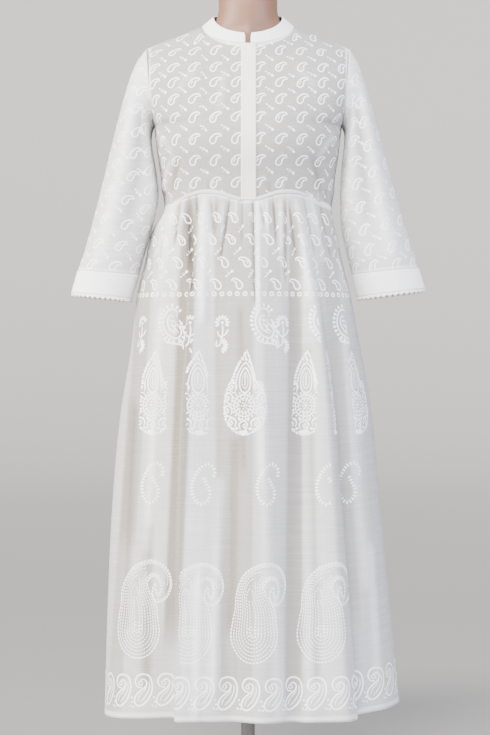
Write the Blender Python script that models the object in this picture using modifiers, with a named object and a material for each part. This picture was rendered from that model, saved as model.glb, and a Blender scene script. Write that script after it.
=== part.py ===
"""A long gathered dress with a band collar, standing on a limbless dress form.

Metres, +Z up, the front faces -Y and left is -X. The origin is the middle of the
stand's underside. Every cloth piece is a sheet laid out by a function from the
sizes and tables below, then given its wall.
"""

import math
from bisect import bisect_right
from collections import namedtuple

import bmesh
import bpy

LEFT, RIGHT = -1, 1
FRONT, BACK = -1, 1

# Walls and seams
CLOTH = 0.0012
DOUBLE_CLOTH = 0.0018
SEAM = 0.0003
NECK_SEAM = 0.0028
WAIST_SEAM = 0.0006
SHOULDER_SEAM = 0.0010
LACE_SEAM = 0.0008
ARMHOLE_SEAM = 0.0034
STRIP = 0.004

# Bodice outline
SIDE_Z, SIDE_X = 1.064, 0.150
ARMPIT_Z, ARMPIT_X = 1.212, 0.168
SHOULDER_Z, SHOULDER_X = 1.350, 0.182
ARMHOLE_DEPTH = 0.055
TOP_LEVEL = 11
SHOULDER_ROUNDING = 8
NECK_COLUMNS, SHOULDER_COLUMNS = 5, 6

# Neck seam and collar
NECK_X, NECK_FRONT, NECK_BACK = 0.082, 0.070, 0.062
NECK_Z, NECK_DROP, NECK_RISE = 1.390, 0.037, 0.010
COLLAR_X, COLLAR_FRONT, COLLAR_BACK = 0.061, 0.057, 0.053
COLLAR_Z, COLLAR_DROP, COLLAR_RISE = 1.408, 0.0355, 0.010
COLLAR_COLUMNS = 36
NOTCH = 0.0048

# Placket and the band over the seam under the bust
PLACKET_X, PLACKET_WIDTH = 0.0009, 0.027
BAND_ENDS = {LEFT: 0.80, RIGHT: 0.70}
BAND_COLUMNS = 20

# Skirt
HEM_Z = 0.165
GATHERS = {FRONT: 20, BACK: 15}
COLUMNS_A_GATHER = 4
GATHER_HEIGHT = 0.0030
GATHER_START = 0.05

# Sleeves, cuffs and their lace edge
SLEEVE_COLUMNS, SLEEVE_RINGS = 28, 9
CUFF_RINGS = 2
TEETH = 36
LACE_BAND, TOOTH = 0.0022, 0.0034

# Dress form and stand
FORM_CLEAR = 0.0006
FORM_SIDES = 32
SHOULDER_END_X = 0.1575
POLE_RADIUS = 0.0125
BASE_RADIUS, BASE_HEIGHT, BASE_EDGE = 0.190, 0.012, 0.003

# The seam under the bust: across is the share of the half-width
SeamRow = namedtuple("SeamRow", "across z")
FRONT_SEAM = [
    SeamRow(0.00, 1.074), SeamRow(0.10, 1.0745), SeamRow(0.22, 1.080),
    SeamRow(0.36, 1.0865), SeamRow(0.52, 1.088), SeamRow(0.68, 1.083),
    SeamRow(0.84, 1.073), SeamRow(1.00, SIDE_Z),
]
BACK_SEAM = [SeamRow(0.0, 1.072), SeamRow(0.5, 1.070), SeamRow(1.0, SIDE_Z)]

# Half-width of the side seam, from its foot (0) to the armpit (1)
SideRow = namedtuple("SideRow", "up x")
SIDE_SEAM = [
    SideRow(0.00, SIDE_X), SideRow(0.027, SIDE_X), SideRow(0.36, 0.1555),
    SideRow(0.70, 0.1630), SideRow(1.00, ARMPIT_X),
]

# Rows of the bodice's mesh: rise is the share of the height at the centre, and edge
# runs from 0 to 1 up the side seam and from 1 to 2 up the armhole
LevelRow = namedtuple("LevelRow", "level rise edge")
LEVELS = [
    LevelRow(0, 0.000, 0.000), LevelRow(1, 0.014, 0.027), LevelRow(2, 0.160, 0.360),
    LevelRow(3, 0.310, 0.700), LevelRow(4, 0.450, 1.000), LevelRow(5, 0.560, 1.143),
    LevelRow(6, 0.660, 1.286), LevelRow(7, 0.750, 1.429), LevelRow(8, 0.830, 1.571),
    LevelRow(9, 0.900, 1.714), LevelRow(10, 0.956, 1.857), LevelRow(11, 1.000, 2.000),
]

# Depth of the bodice at its centre line, and how squared its section is
BodyRow = namedtuple("BodyRow", "z front back square")
BODY = [
    BodyRow(SIDE_Z, 0.103, 0.088, 2.30),
    BodyRow(SIDE_Z + STRIP, 0.103, 0.088, 2.30),
    BodyRow(1.112, 0.112, 0.091, 2.40),
    BodyRow(1.160, 0.1235, 0.096, 2.55),
    BodyRow(1.195, 0.124, 0.099, 2.50),
    BodyRow(1.225, 0.117, 0.101, 2.40),
    BodyRow(1.260, 0.1055, 0.102, 2.30),
    BodyRow(1.290, 0.0960, 0.099, 2.20),
    BodyRow(1.320, 0.0850, 0.0935, 2.10),
    BodyRow(NECK_Z - NECK_DROP, NECK_FRONT + NECK_SEAM, 0.084, 2.00),
    BodyRow(NECK_Z + NECK_RISE, 0.060, NECK_BACK + NECK_SEAM, 2.00),
]

# Skirt rows: fall is the share of the way from the seam to the hem
SkirtRow = namedtuple("SkirtRow", "fall left right front back square")
SKIRT = [
    SkirtRow(0.0000, 0.150, 0.150, 0.103, 0.088, 2.30),
    SkirtRow(0.0044, 0.150, 0.150, 0.103, 0.088, 2.30),
    SkirtRow(0.0160, 0.154, 0.151, 0.107, 0.093, 2.25),
    SkirtRow(0.0340, 0.162, 0.154, 0.113, 0.099, 2.20),
    SkirtRow(0.0620, 0.171, 0.160, 0.120, 0.107, 2.15),
    SkirtRow(0.1050, 0.180, 0.168, 0.128, 0.116, 2.10),
    SkirtRow(0.1750, 0.197, 0.183, 0.137, 0.127, 2.10),
    SkirtRow(0.2800, 0.210, 0.201, 0.146, 0.138, 2.10),
    SkirtRow(0.4200, 0.230, 0.222, 0.152, 0.148, 2.10),
    SkirtRow(0.6000, 0.244, 0.237, 0.157, 0.157, 2.10),
    SkirtRow(0.8000, 0.252, 0.254, 0.161, 0.164, 2.15),
    SkirtRow(1.0000, 0.257, 0.271, 0.164, 0.170, 2.20),
]
HemRow = namedtuple("HemRow", "across drop")
HEM = [HemRow(-1.0, 0.008), HemRow(-0.5, 0.0), HemRow(0.6, 0.0), HemRow(1.0, -0.014)]

# Main folds. A step raises the cloth between its two edges, from top to hem.
# A ridge or, with a minus height, a valley runs from its place at the seam to
# its place at the hem. Places are shares of the half-width.
StepRow = namedtuple("StepRow", "left_top left_hem right_top right_hem edge height")
FRONT_STEP = StepRow(-0.57, -0.49, 0.62, 0.68, 0.07, 0.030)
BACK_STEP = StepRow(-0.55, -0.60, 0.50, 0.52, 0.09, 0.016)
FoldRow = namedtuple("FoldRow", "top hem width height start")
FRONT_FOLDS = [
    FoldRow(-0.90, -0.93, 0.10, 0.0060, 0.02),
    FoldRow(-0.66, -0.62, 0.09, -0.0100, 0.06),
    FoldRow(-0.50, -0.37, 0.08, 0.0110, 0.04),
    FoldRow(-0.31, -0.09, 0.11, -0.0140, 0.10),
    FoldRow(0.05, 0.10, 0.12, 0.0080, 0.03),
    FoldRow(0.50, 0.28, 0.10, -0.0170, 0.05),
    FoldRow(0.58, 0.56, 0.10, 0.0130, 0.04),
    FoldRow(0.80, 0.84, 0.08, -0.0080, 0.15),
]
BACK_FOLDS = [
    FoldRow(-0.82, -0.84, 0.10, 0.0080, 0.04),
    FoldRow(-0.42, -0.44, 0.10, 0.0110, 0.06),
    FoldRow(-0.22, -0.16, 0.12, -0.0150, 0.08),
    FoldRow(0.06, 0.08, 0.11, 0.0110, 0.05),
    FoldRow(0.26, 0.30, 0.10, -0.0120, 0.10),
    FoldRow(0.72, 0.80, 0.10, 0.0080, 0.12),
]

# Sleeve rings, each through a point of the outer and of the inner outline
SleeveRow = namedtuple("SleeveRow", "along out_x out_z in_x in_z depth y")
SLEEVES = {
    LEFT: [
        SleeveRow(0.00, 0.1820, 1.350, 0.1680, 1.212, 0.0550, 0.000),
        SleeveRow(0.08, 0.1990, 1.327, 0.1735, 1.197, 0.0560, 0.000),
        SleeveRow(0.18, 0.2130, 1.293, 0.1735, 1.176, 0.0555, -0.002),
        SleeveRow(0.34, 0.2290, 1.237, 0.1700, 1.135, 0.0540, -0.006),
        SleeveRow(0.52, 0.2490, 1.155, 0.1670, 1.085, 0.0520, -0.010),
        SleeveRow(0.70, 0.2700, 1.068, 0.1730, 1.033, 0.0500, -0.014),
        SleeveRow(0.87, 0.2900, 0.994, 0.1850, 0.984, 0.0480, -0.017),
        SleeveRow(1.00, 0.3040, 0.951, 0.1965, 0.943, 0.0460, -0.019),
        SleeveRow(1.12, 0.3150, 0.912, 0.2100, 0.901, 0.0440, -0.020),
    ],
    RIGHT: [
        SleeveRow(0.00, 0.1820, 1.350, 0.1680, 1.212, 0.0550, 0.000),
        SleeveRow(0.08, 0.1985, 1.322, 0.1740, 1.198, 0.0560, 0.000),
        SleeveRow(0.18, 0.2105, 1.287, 0.1735, 1.178, 0.0555, -0.002),
        SleeveRow(0.34, 0.2280, 1.228, 0.1690, 1.138, 0.0540, -0.006),
        SleeveRow(0.52, 0.2500, 1.145, 0.1660, 1.083, 0.0520, -0.010),
        SleeveRow(0.70, 0.2730, 1.060, 0.1690, 1.025, 0.0510, -0.014),
        SleeveRow(0.87, 0.2940, 0.990, 0.1790, 0.977, 0.0500, -0.017),
        SleeveRow(1.00, 0.3050, 0.955, 0.1870, 0.944, 0.0485, -0.019),
        SleeveRow(1.12, 0.3160, 0.919, 0.1970, 0.904, 0.0465, -0.020),
    ],
}
CUFF_TOP = 1.0
CUFF_FOOT = 1.12
CUFF_LENGTH = 0.041

# Creases of a sleeve: turn is degrees round it, 90 at the front
CreaseRow = namedtuple("CreaseRow", "turn_top turn_foot width height start stop")
SLEEVE_CREASES = {
    LEFT: [
        CreaseRow(58, 66, 16, 0.0040, 0.10, 1.10),
        CreaseRow(98, 104, 18, -0.0045, 0.05, 0.90),
        CreaseRow(140, 128, 16, 0.0035, 0.06, 0.80),
        CreaseRow(265, 262, 20, -0.0040, 0.08, 1.00),
    ],
    RIGHT: [
        CreaseRow(50, 74, 16, 0.0045, 0.06, 1.05),
        CreaseRow(80, 106, 16, -0.0050, 0.04, 0.85),
        CreaseRow(120, 140, 16, 0.0040, 0.04, 0.70),
        CreaseRow(262, 270, 20, -0.0040, 0.08, 1.00),
    ],
}

# Dress form rows, from its flat foot at the thighs to the top of its neck
FormRow = namedtuple("FormRow", "z x front back square")
FORM_TRUNK = [
    FormRow(0.597, 0.150, 0.100, 0.105, 2.1),
    FormRow(0.660, 0.160, 0.105, 0.116, 2.1),
    FormRow(0.740, 0.164, 0.107, 0.122, 2.1),
    FormRow(0.840, 0.153, 0.102, 0.110, 2.1),
    FormRow(0.930, 0.132, 0.093, 0.092, 2.1),
    FormRow(0.990, 0.123, 0.087, 0.083, 2.1),
    FormRow(1.045, 0.131, 0.090, 0.080, 2.2),
    FormRow(1.095, 0.1435, 0.098, 0.084, 2.3),
    FormRow(1.165, 0.1545, 0.117, 0.091, 2.4),
    FormRow(1.220, 0.1570, 0.111, 0.095, 2.2),
    FormRow(1.270, 0.1575, 0.096, 0.095, 2.0),
    FormRow(1.310, 0.1575, 0.082, 0.088, 1.7),
    FormRow(1.338, 0.1575, 0.073, 0.079, 1.4),
]
ShoulderRow = namedtuple("ShoulderRow", "z front back square")
FORM_SHOULDERS = [
    ShoulderRow(1.3592, 0.063, 0.071, 1.12),
    ShoulderRow(1.3700, 0.056, 0.064, 1.02),
    ShoulderRow(1.3800, 0.0515, 0.058, 0.98),
    ShoulderRow(1.3865, 0.0500, 0.053, 0.98),
]
FORM_NECK = [
    FormRow(1.3910, 0.0700, 0.0490, 0.0510, 1.2),
    FormRow(1.4020, 0.0570, 0.0485, 0.0495, 1.8),
    FormRow(1.4180, 0.0530, 0.0480, 0.0485, 2.0),
    FormRow(1.4640, 0.0525, 0.0475, 0.0475, 2.0),
    FormRow(1.4680, 0.0495, 0.0445, 0.0445, 2.0),
]


def read(rows, key, column, value):
    """A column at a value of the key column, on a smooth curve through the rows."""
    keys = [getattr(row, key) for row in rows]
    marks = [getattr(row, column) for row in rows]
    if value <= keys[0]:
        return marks[0]
    if value >= keys[-1]:
        return marks[-1]
    last = len(rows) - 1
    i = bisect_right(keys, value) - 1
    span = keys[i + 1] - keys[i]
    rise = marks[i + 1] - marks[i]

    def slope(k):
        low, high = max(k - 1, 0), min(k + 1, last)
        return (marks[high] - marks[low]) / (keys[high] - keys[low]) * span

    t = (value - keys[i]) / span
    start, end = slope(i), slope(i + 1)
    return marks[i] + t * (start + t * (3 * rise - 2 * start - end + t * (start + end - 2 * rise)))


def ease(t):
    """From 0 to 1 with soft ends."""
    t = min(max(t, 0.0), 1.0)
    return t * t * (3 - 2 * t)


def mix(a, b, t):
    return a + (b - a) * t


def bow(share, square):
    """Depth of a squared oval at a share of its half-width, from 1 to 0."""
    return max(0.0, 1 - min(abs(share), 1.0) ** square) ** (1 / square)


# Bodice: across runs from 0 at the centre to 1 at the side seam and armhole
NECK_EDGE = (NECK_X + NECK_SEAM) / SHOULDER_X


def bodice_edge(edge):
    """Half-width and height of the side seam and then the armhole."""
    if edge <= 1:
        return read(SIDE_SEAM, "up", "x", edge), mix(SIDE_Z, ARMPIT_Z, edge)
    up = (1 + math.sin(math.pi * (edge - 1.5))) / 2
    return mix(ARMPIT_X, SHOULDER_X, up), mix(ARMPIT_Z, SHOULDER_Z, up)


def armhole_depth(z):
    """Depth of the armhole's edge at a height, and 0 on the side seam."""
    up = min(max((z - ARMPIT_Z) / (SHOULDER_Z - ARMPIT_Z), 0.0), 1.0)
    return ARMHOLE_DEPTH * 2 * math.sqrt(up * (1 - up))


def seam_z(across, face):
    """Height of the waist seam, straight between the bodice's columns."""
    rows = FRONT_SEAM if face == FRONT else BACK_SEAM
    columns = bodice_columns()
    i = min(bisect_right(columns, across), len(columns) - 1)
    low, high = columns[i - 1], columns[i]
    share = (across - low) / (high - low)
    return mix(read(rows, "across", "z", low), read(rows, "across", "z", high), share)


def bodice_columns():
    """The places across of a half bodice's columns, closer towards its edge."""
    quarter = math.pi / 2
    places = [NECK_EDGE * math.sin(quarter * i / NECK_COLUMNS) for i in range(NECK_COLUMNS)]
    neck_turn = math.asin(NECK_EDGE)
    rest = (quarter - neck_turn) / SHOULDER_COLUMNS
    return places + [math.sin(neck_turn + rest * i) for i in range(SHOULDER_COLUMNS + 1)]


def bodice_top(across, face):
    """Depth and height of the neck edge and then the shoulder seam."""
    if across >= NECK_EDGE:
        share = (across - NECK_EDGE) / (1 - NECK_EDGE)
        return 0.0, mix(NECK_Z, SHOULDER_Z, share)
    reach = bow(across / NECK_EDGE, 2)
    if face == FRONT:
        return (NECK_FRONT + NECK_SEAM) * reach, NECK_Z - NECK_DROP * reach
    return (NECK_BACK + NECK_SEAM) * reach, NECK_Z + NECK_RISE * reach


def bodice_point(across, level, face, side):
    """A point of the bodice's inner surface."""
    share = min(abs(across), 1.0)
    edge_x, edge_z = bodice_edge(read(LEVELS, "level", "edge", level))
    low = seam_z(share, face)
    top_y, top_z = bodice_top(share, face)
    rise = read(LEVELS, "level", "rise", level)
    up = mix(rise, (edge_z - SIDE_Z) / (SHOULDER_Z - SIDE_Z), share)
    z = mix(low, top_z, up)
    body_z = z if z > ARMPIT_Z else mix(SIDE_Z, ARMPIT_Z, (z - low) / (ARMPIT_Z - low))
    centre = read(BODY, "z", "front" if face == FRONT else "back", body_z)
    edge_y = armhole_depth(body_z)
    depth = mix(edge_y, centre, bow(share, read(BODY, "z", "square", body_z)))
    over = 1 - math.sqrt(max(0.0, 1 - min(up, 1.0) ** SHOULDER_ROUNDING))
    depth = mix(depth, top_y, over)
    return side * share * edge_x, face * (depth + SEAM / 2), z


# Skirt: across runs from -1 at the left side seam to 1 at the right one
def fold_height(across, fall, face):
    """How far the main folds stand out from the skirt's plain section."""
    step = FRONT_STEP if face == FRONT else BACK_STEP
    left = mix(step.left_top, step.left_hem, fall)
    right = mix(step.right_top, step.right_hem, fall)
    inside = ease((across - left) / step.edge + 0.5) - ease((across - right) / step.edge + 0.5)
    strip = SKIRT[1].fall
    height = step.height * inside * (max(fall - strip, 0.0) / (1 - strip)) ** 0.8
    for fold in FRONT_FOLDS if face == FRONT else BACK_FOLDS:
        place = (across - mix(fold.top, fold.hem, fall)) / fold.width
        grown = ease((fall - fold.start) / 0.25)
        height += fold.height * grown * math.exp(-place * place)
    return height * min(1.0, (1 - across * across) * 4)


def gather_height(turn, fall, face):
    """The small gathers below the seam, each with a height and length of its own."""
    count = GATHERS[face]
    number = min(int(turn / math.pi * count), count - 1)
    size = 0.72 + 0.28 * math.sin(2.4 * number + 1.0)
    length = 0.10 + 0.08 * math.sin(1.7 * number + 0.5)
    middle = ease(1.6 * math.sin(turn)) * 0.75 + 0.25
    grown = ease((fall - SKIRT[1].fall) / GATHER_START)
    fade = math.exp(-((fall / (length + 0.06)) ** 1.5))
    wave = math.sin(2 * math.pi * count * turn / math.pi)
    return GATHER_HEIGHT * size * middle * grown * fade * wave


def skirt_point(turn, fall, face):
    """A point of the skirt's inner surface. turn is 0 at the left, pi at the right."""
    across = -math.cos(turn)
    half = read(SKIRT, "fall", "left" if across < 0 else "right", fall)
    depth = read(SKIRT, "fall", "front" if face == FRONT else "back", fall)
    reach = bow(across, read(SKIRT, "fall", "square", fall))
    out = fold_height(across, fall, face) + gather_height(turn, fall, face)
    slant_x, slant_y = across / half, reach / depth
    size = math.hypot(slant_x, slant_y)
    x = across * half + out * slant_x / size
    y = face * (depth * reach + SEAM / 2 + out * slant_y / size)
    drop = read(HEM, "across", "drop", across)
    if face == BACK:
        drop = mix(HEM[0].drop, HEM[-1].drop, (1 + across) / 2)
    return x, y, mix(seam_z(abs(across), face) - WAIST_SEAM, HEM_Z - drop, fall)


# Sleeves: turn is 0 at the outer outline, a quarter at the front
def sleeve_point(turn, along, side, out=0.0):
    """A point of a sleeve's inner surface, moved out by out."""
    rows = SLEEVES[side]

    def at(column):
        return read(rows, "along", column, along)

    place = math.degrees(turn) % 360
    for crease in SLEEVE_CREASES[side]:
        middle = mix(crease.turn_top, crease.turn_foot, along)
        grown = ease((along - crease.start) / 0.2) * ease((crease.stop - along) / 0.25)
        out += crease.height * grown * math.exp(-(((place - middle) / crease.width) ** 2))
    half_x, half_z = (at("out_x") - at("in_x")) / 2, (at("out_z") - at("in_z")) / 2
    half = math.hypot(half_x, half_z)
    reach = 1 + out / half
    across = (at("out_x") + at("in_x")) / 2 + half_x * reach * math.cos(turn)
    seam = mix(SHOULDER_SEAM, ARMHOLE_SEAM, (1 - math.cos(turn)) / 2)
    across += seam * (1 - ease(along / SLEEVES[side][1].along))
    y = at("y") - (at("depth") + out) * math.sin(turn)
    z = (at("out_z") + at("in_z")) / 2 + half_z * reach * math.cos(turn)
    return side * across, y, z


def cuff_point(turn, down, side):
    """A point of a cuff's inner surface, from its seam (0) to its foot (1)."""
    start = SEAM / CUFF_LENGTH
    along = mix(CUFF_TOP, CUFF_FOOT, mix(start, 1.0, down))
    return sleeve_point(turn, along, side)


def lace_point(turn, down, side):
    """A point of the toothed lace edge that hangs from a cuff."""
    x, y, z = cuff_point(turn, 1.0, side)
    tooth = 0.5 - 0.5 * math.cos(turn * TEETH)
    return x, y, z - LACE_SEAM - down * (LACE_BAND + TOOTH * tooth)


def collar_point(turn, up):
    """A point of the collar's inner surface. turn is 0 at the front."""
    c = math.cos(turn)
    front = c > 0
    x = mix(NECK_X, COLLAR_X, up) * math.sin(turn)
    y = -mix(NECK_FRONT, COLLAR_FRONT, up) * c if front else -mix(NECK_BACK, COLLAR_BACK, up) * c
    low = NECK_Z - (NECK_DROP if front else NECK_RISE) * c
    high = COLLAR_Z - (COLLAR_DROP if front else COLLAR_RISE) * c
    return x, y, mix(low, high, up) + SEAM


# Meshes
def new_object(name, mesh, collection, material):
    mesh.materials.append(material)
    mesh.shade_smooth()
    made = bpy.data.objects.new(name, mesh)
    collection.objects.link(made)
    return made


def sheet(name, columns, rows, place, wall, collection, material, closed=False):
    """A grid laid out by place(column, row), closed to a tube or not, with a wall."""
    mesh = bpy.data.meshes.new(name)
    shape = bmesh.new()
    bmesh.ops.create_grid(shape, x_segments=columns, y_segments=rows, size=0.5)
    for point in shape.verts:
        column = round((point.co.x + 0.5) * columns)
        row = round((point.co.y + 0.5) * rows)
        point.co = place(column, row)
    if closed:
        bmesh.ops.remove_doubles(shape, verts=shape.verts, dist=1e-6)
    shape.to_mesh(mesh)
    shape.free()
    made = new_object(name, mesh, collection, material)
    thick = made.modifiers.new("Wall", "SOLIDIFY")
    thick.thickness = wall
    thick.offset = 1
    thick.use_quality_normals = True
    return made


def make_bodice(collection, material):
    columns = bodice_columns()
    last = len(columns) - 1
    for side, name in ((LEFT, "bodice_front_left"), (RIGHT, "bodice_front_right")):

        def place(column, row, side=side):
            share = columns[column if side == RIGHT else last - column]
            x, y, z = bodice_point(share, row, FRONT, side)
            return x + side * SEAM * (1 - share), y, z

        sheet(name, last, TOP_LEVEL, place, CLOTH, collection, material)

    def back(column, row):
        offset = last - column
        return bodice_point(columns[abs(offset)], row, BACK, RIGHT if offset > 0 else LEFT)

    sheet("bodice_back", 2 * last, TOP_LEVEL, back, CLOTH, collection, material)


def make_placket(collection, material):
    """The strip over the slit, laid on the first column of each front."""
    lift = CLOTH + 2 * SEAM
    outer = bodice_columns()[1]

    def place(column, row):
        x = PLACKET_X + (column / 2 - 0.5) * PLACKET_WIDTH
        middle = bodice_point(0.0, row, FRONT, RIGHT)
        edge = bodice_point(outer, row, FRONT, RIGHT)
        share = abs(x) / edge[0]
        return x, mix(middle[1], edge[1], share) - lift, mix(middle[2], edge[2], share)

    sheet("placket", 2, TOP_LEVEL, place, CLOTH, collection, material)


def make_seam_bands(collection, material):
    """The two narrow bands over the seam, from the placket outwards."""
    lift = CLOTH + SEAM
    for side, name in ((LEFT, "seam_band_left"), (RIGHT, "seam_band_right")):

        def place(column, row, side=side):
            share = column / BAND_COLUMNS
            start = (PLACKET_WIDTH / 2 + side * PLACKET_X + 2 * SEAM) / SIDE_X
            across = mix(start, BAND_ENDS[side], share if side == RIGHT else 1 - share)
            half, depth = SIDE_X + lift, SKIRT[0].front + lift
            z = seam_z(across, FRONT) - WAIST_SEAM / 2 + (row - 1) * STRIP
            return side * across * half, -depth * bow(across, SKIRT[0].square) - SEAM, z

        sheet(name, BAND_COLUMNS, 2, place, CLOTH, collection, material)


def make_skirt(collection, material):
    rows = len(SKIRT) - 1
    for face, name in ((FRONT, "skirt_front"), (BACK, "skirt_back")):
        columns = GATHERS[face] * COLUMNS_A_GATHER

        def place(column, row, face=face, columns=columns):
            share = column / columns
            turn = math.pi * (share if face == FRONT else 1 - share)
            return skirt_point(turn, SKIRT[rows - row].fall, face)

        sheet(name, columns, rows, place, CLOTH, collection, material)


def make_sleeves(collection, cloth, lace):
    for side, end in ((LEFT, "left"), (RIGHT, "right")):

        def ring_turn(column, columns, side=side):
            share = column / columns
            return 2 * math.pi * (share if side == LEFT else 1 - share)

        def sleeve(column, row, side=side):
            along = CUFF_TOP * (1 - row / SLEEVE_RINGS)
            return sleeve_point(ring_turn(column, SLEEVE_COLUMNS), along, side)

        def cuff(column, row, side=side):
            return cuff_point(ring_turn(column, SLEEVE_COLUMNS), 1 - row / CUFF_RINGS, side)

        def edge(column, row, side=side):
            return lace_point(ring_turn(column, 2 * TEETH), 1 - row, side)

        sheet("sleeve_" + end, SLEEVE_COLUMNS, SLEEVE_RINGS, sleeve, CLOTH, collection, cloth, True)
        sheet("cuff_" + end, SLEEVE_COLUMNS, CUFF_RINGS, cuff, DOUBLE_CLOTH, collection, cloth, True)
        sheet("cuff_lace_" + end, 2 * TEETH, 1, edge, CLOTH, collection, lace, True)


def make_collar(collection, material):
    def place(column, row):
        up = row / 2
        half = mix(NECK_X, COLLAR_X, up)
        start = math.asin(NOTCH / half)
        turn = mix(start, 2 * math.pi - start, column / COLLAR_COLUMNS)
        return collar_point(turn, up)

    sheet("collar", COLLAR_COLUMNS, 2, place, DOUBLE_CLOTH, collection, material)


def form_rings():
    """The form's rows, with the shoulders' half-widths just under the shoulder seam."""
    slope = (NECK_Z - SHOULDER_Z) / (SHOULDER_X - NECK_X - NECK_SEAM)
    rings = list(FORM_TRUNK)
    for row in FORM_SHOULDERS:
        x = SHOULDER_X - (row.z + FORM_CLEAR - SHOULDER_Z) / slope
        rings.append(FormRow(row.z, min(x, SHOULDER_END_X), row.front, row.back, row.square))
    return rings + FORM_NECK


def make_form(collection, material):
    """One smooth closed torso: a loft through its rings, capped at both ends."""
    mesh = bpy.data.meshes.new("form_torso")
    shape = bmesh.new()
    loops = []
    for ring in form_rings():
        loop = []
        for i in range(FORM_SIDES):
            turn = 2 * math.pi * i / FORM_SIDES
            across = math.sin(turn)
            depth = -ring.front if math.cos(turn) > 0 else ring.back
            y = depth * bow(across, ring.square)
            loop.append(shape.verts.new((ring.x * across, y, ring.z)))
        loops.append(loop)
    for low, high in zip(loops, loops[1:]):
        for i in range(FORM_SIDES):
            j = (i + 1) % FORM_SIDES
            shape.faces.new((low[i], low[j], high[j], high[i]))
    shape.faces.new(loops[0][::-1])
    shape.faces.new(loops[-1])
    bmesh.ops.recalc_face_normals(shape, faces=shape.faces)
    shape.to_mesh(mesh)
    shape.free()
    return new_object("form_torso", mesh, collection, material)


def make_stand(collection, metal):
    foot = BASE_HEIGHT + SEAM
    top = FORM_TRUNK[0].z - SEAM
    bpy.ops.mesh.primitive_cylinder_add(
        vertices=24, radius=POLE_RADIUS, depth=top - foot, location=(0, 0, (top + foot) / 2)
    )
    pole = bpy.context.object
    pole.name = pole.data.name = "stand_pole"
    profile = bpy.data.meshes.new("stand_base")
    points = [
        (0, 0, BASE_HEIGHT),
        (BASE_RADIUS - BASE_EDGE, 0, BASE_HEIGHT),
        (BASE_RADIUS, 0, BASE_HEIGHT - BASE_EDGE),
        (BASE_RADIUS, 0, 0),
        (0, 0, 0),
    ]
    profile.from_pydata(points, [(i, i + 1) for i in range(len(points) - 1)], [])
    base = new_object("stand_base", profile, collection, metal)
    turned = base.modifiers.new("Turned", "SCREW")
    turned.steps = turned.render_steps = 40
    turned.use_merge_vertices = True
    turned.merge_threshold = 0.0001
    for old in list(pole.users_collection):
        old.objects.unlink(pole)
    collection.objects.link(pole)
    pole.data.materials.append(metal)
    pole.data.shade_smooth()


def make_material(name, colour, roughness, metallic=0.0):
    material = bpy.data.materials.new(name)
    material.use_nodes = True
    surface = material.node_tree.nodes["Principled BSDF"]
    surface.inputs["Base Color"].default_value = (*colour, 1)
    surface.inputs["Roughness"].default_value = roughness
    surface.inputs["Metallic"].default_value = metallic
    material.diffuse_color = (*colour, 1)
    return material


def main():
    for old in list(bpy.data.objects):
        bpy.data.objects.remove(old)
    collection = bpy.data.collections.new("gathered_dress_on_form")
    bpy.context.scene.collection.children.link(collection)
    cloth = make_material("white_slub_cotton", (0.80, 0.80, 0.78), 0.85)
    plain = make_material("white_plain_cotton", (0.85, 0.85, 0.83), 0.80)
    tape = make_material("cream_tape", (0.87, 0.85, 0.79), 0.75)
    lace = make_material("white_lace", (0.86, 0.86, 0.85), 0.80)
    skin = make_material("form_shell", (0.55, 0.37, 0.28), 0.45)
    metal = make_material("stand_metal", (0.62, 0.62, 0.62), 0.35, 0.9)
    make_bodice(collection, cloth)
    make_placket(collection, tape)
    make_seam_bands(collection, plain)
    make_skirt(collection, cloth)
    make_sleeves(collection, cloth, lace)
    make_collar(collection, plain)
    make_form(collection, skin)
    make_stand(collection, metal)


main()
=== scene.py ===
"""The long gathered dress and its dress form, finished for rendering.

Metres, +Z up, the front faces -Y and left is -X, as in the loaded frame. Each cloth
panel is a grid of points on the same form as its solid, with the creases of worn
cloth. Print and stitches are laid on the panel's outer face by lengths along it.
"""

import math
import random
from functools import partial

import bmesh
import bpy
import numpy as np
from bpy.props import FloatProperty, FloatVectorProperty, IntProperty, PointerProperty
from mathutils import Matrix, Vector


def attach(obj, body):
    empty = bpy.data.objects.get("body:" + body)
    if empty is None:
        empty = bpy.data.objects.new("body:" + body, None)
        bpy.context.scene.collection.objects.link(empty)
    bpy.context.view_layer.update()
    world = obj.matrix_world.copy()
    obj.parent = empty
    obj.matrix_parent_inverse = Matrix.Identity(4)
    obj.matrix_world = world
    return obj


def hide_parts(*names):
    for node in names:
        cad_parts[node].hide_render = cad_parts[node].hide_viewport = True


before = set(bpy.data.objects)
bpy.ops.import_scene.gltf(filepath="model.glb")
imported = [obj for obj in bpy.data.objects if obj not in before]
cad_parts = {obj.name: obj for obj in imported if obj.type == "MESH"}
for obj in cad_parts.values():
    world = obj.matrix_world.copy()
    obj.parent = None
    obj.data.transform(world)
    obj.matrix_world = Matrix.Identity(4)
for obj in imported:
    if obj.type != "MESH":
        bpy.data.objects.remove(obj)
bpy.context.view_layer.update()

bl_info = {
    "name": "Gathered dress on a form",
    "version": (1, 0, 0),
    "blender": (4, 5, 0),
    "location": "View3D > Sidebar > Dress",
    "description": "Sewn panels, print, lace and stand of a long gathered dress",
    "category": "Object",
}

LEFT, RIGHT = -1, 1
SIDES = ((LEFT, "left"), (RIGHT, "right"))
FRONT, BACK = -1, 1
MM = 0.001

# The photograph's view: 490 by 735 pixels, and metres to a pixel at the form's middle
IMAGE_WIDTH, IMAGE_HEIGHT = 490, 735
PIXEL = 0.0018
CAMERA_AWAY = 4.6
MIDDLE_PX, MIDDLE_PY = 248.0, 367.5
CAMERA_X = (IMAGE_WIDTH / 2 - MIDDLE_PX) * PIXEL
CAMERA_Z = 0.778
SENSOR = 36.0
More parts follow.
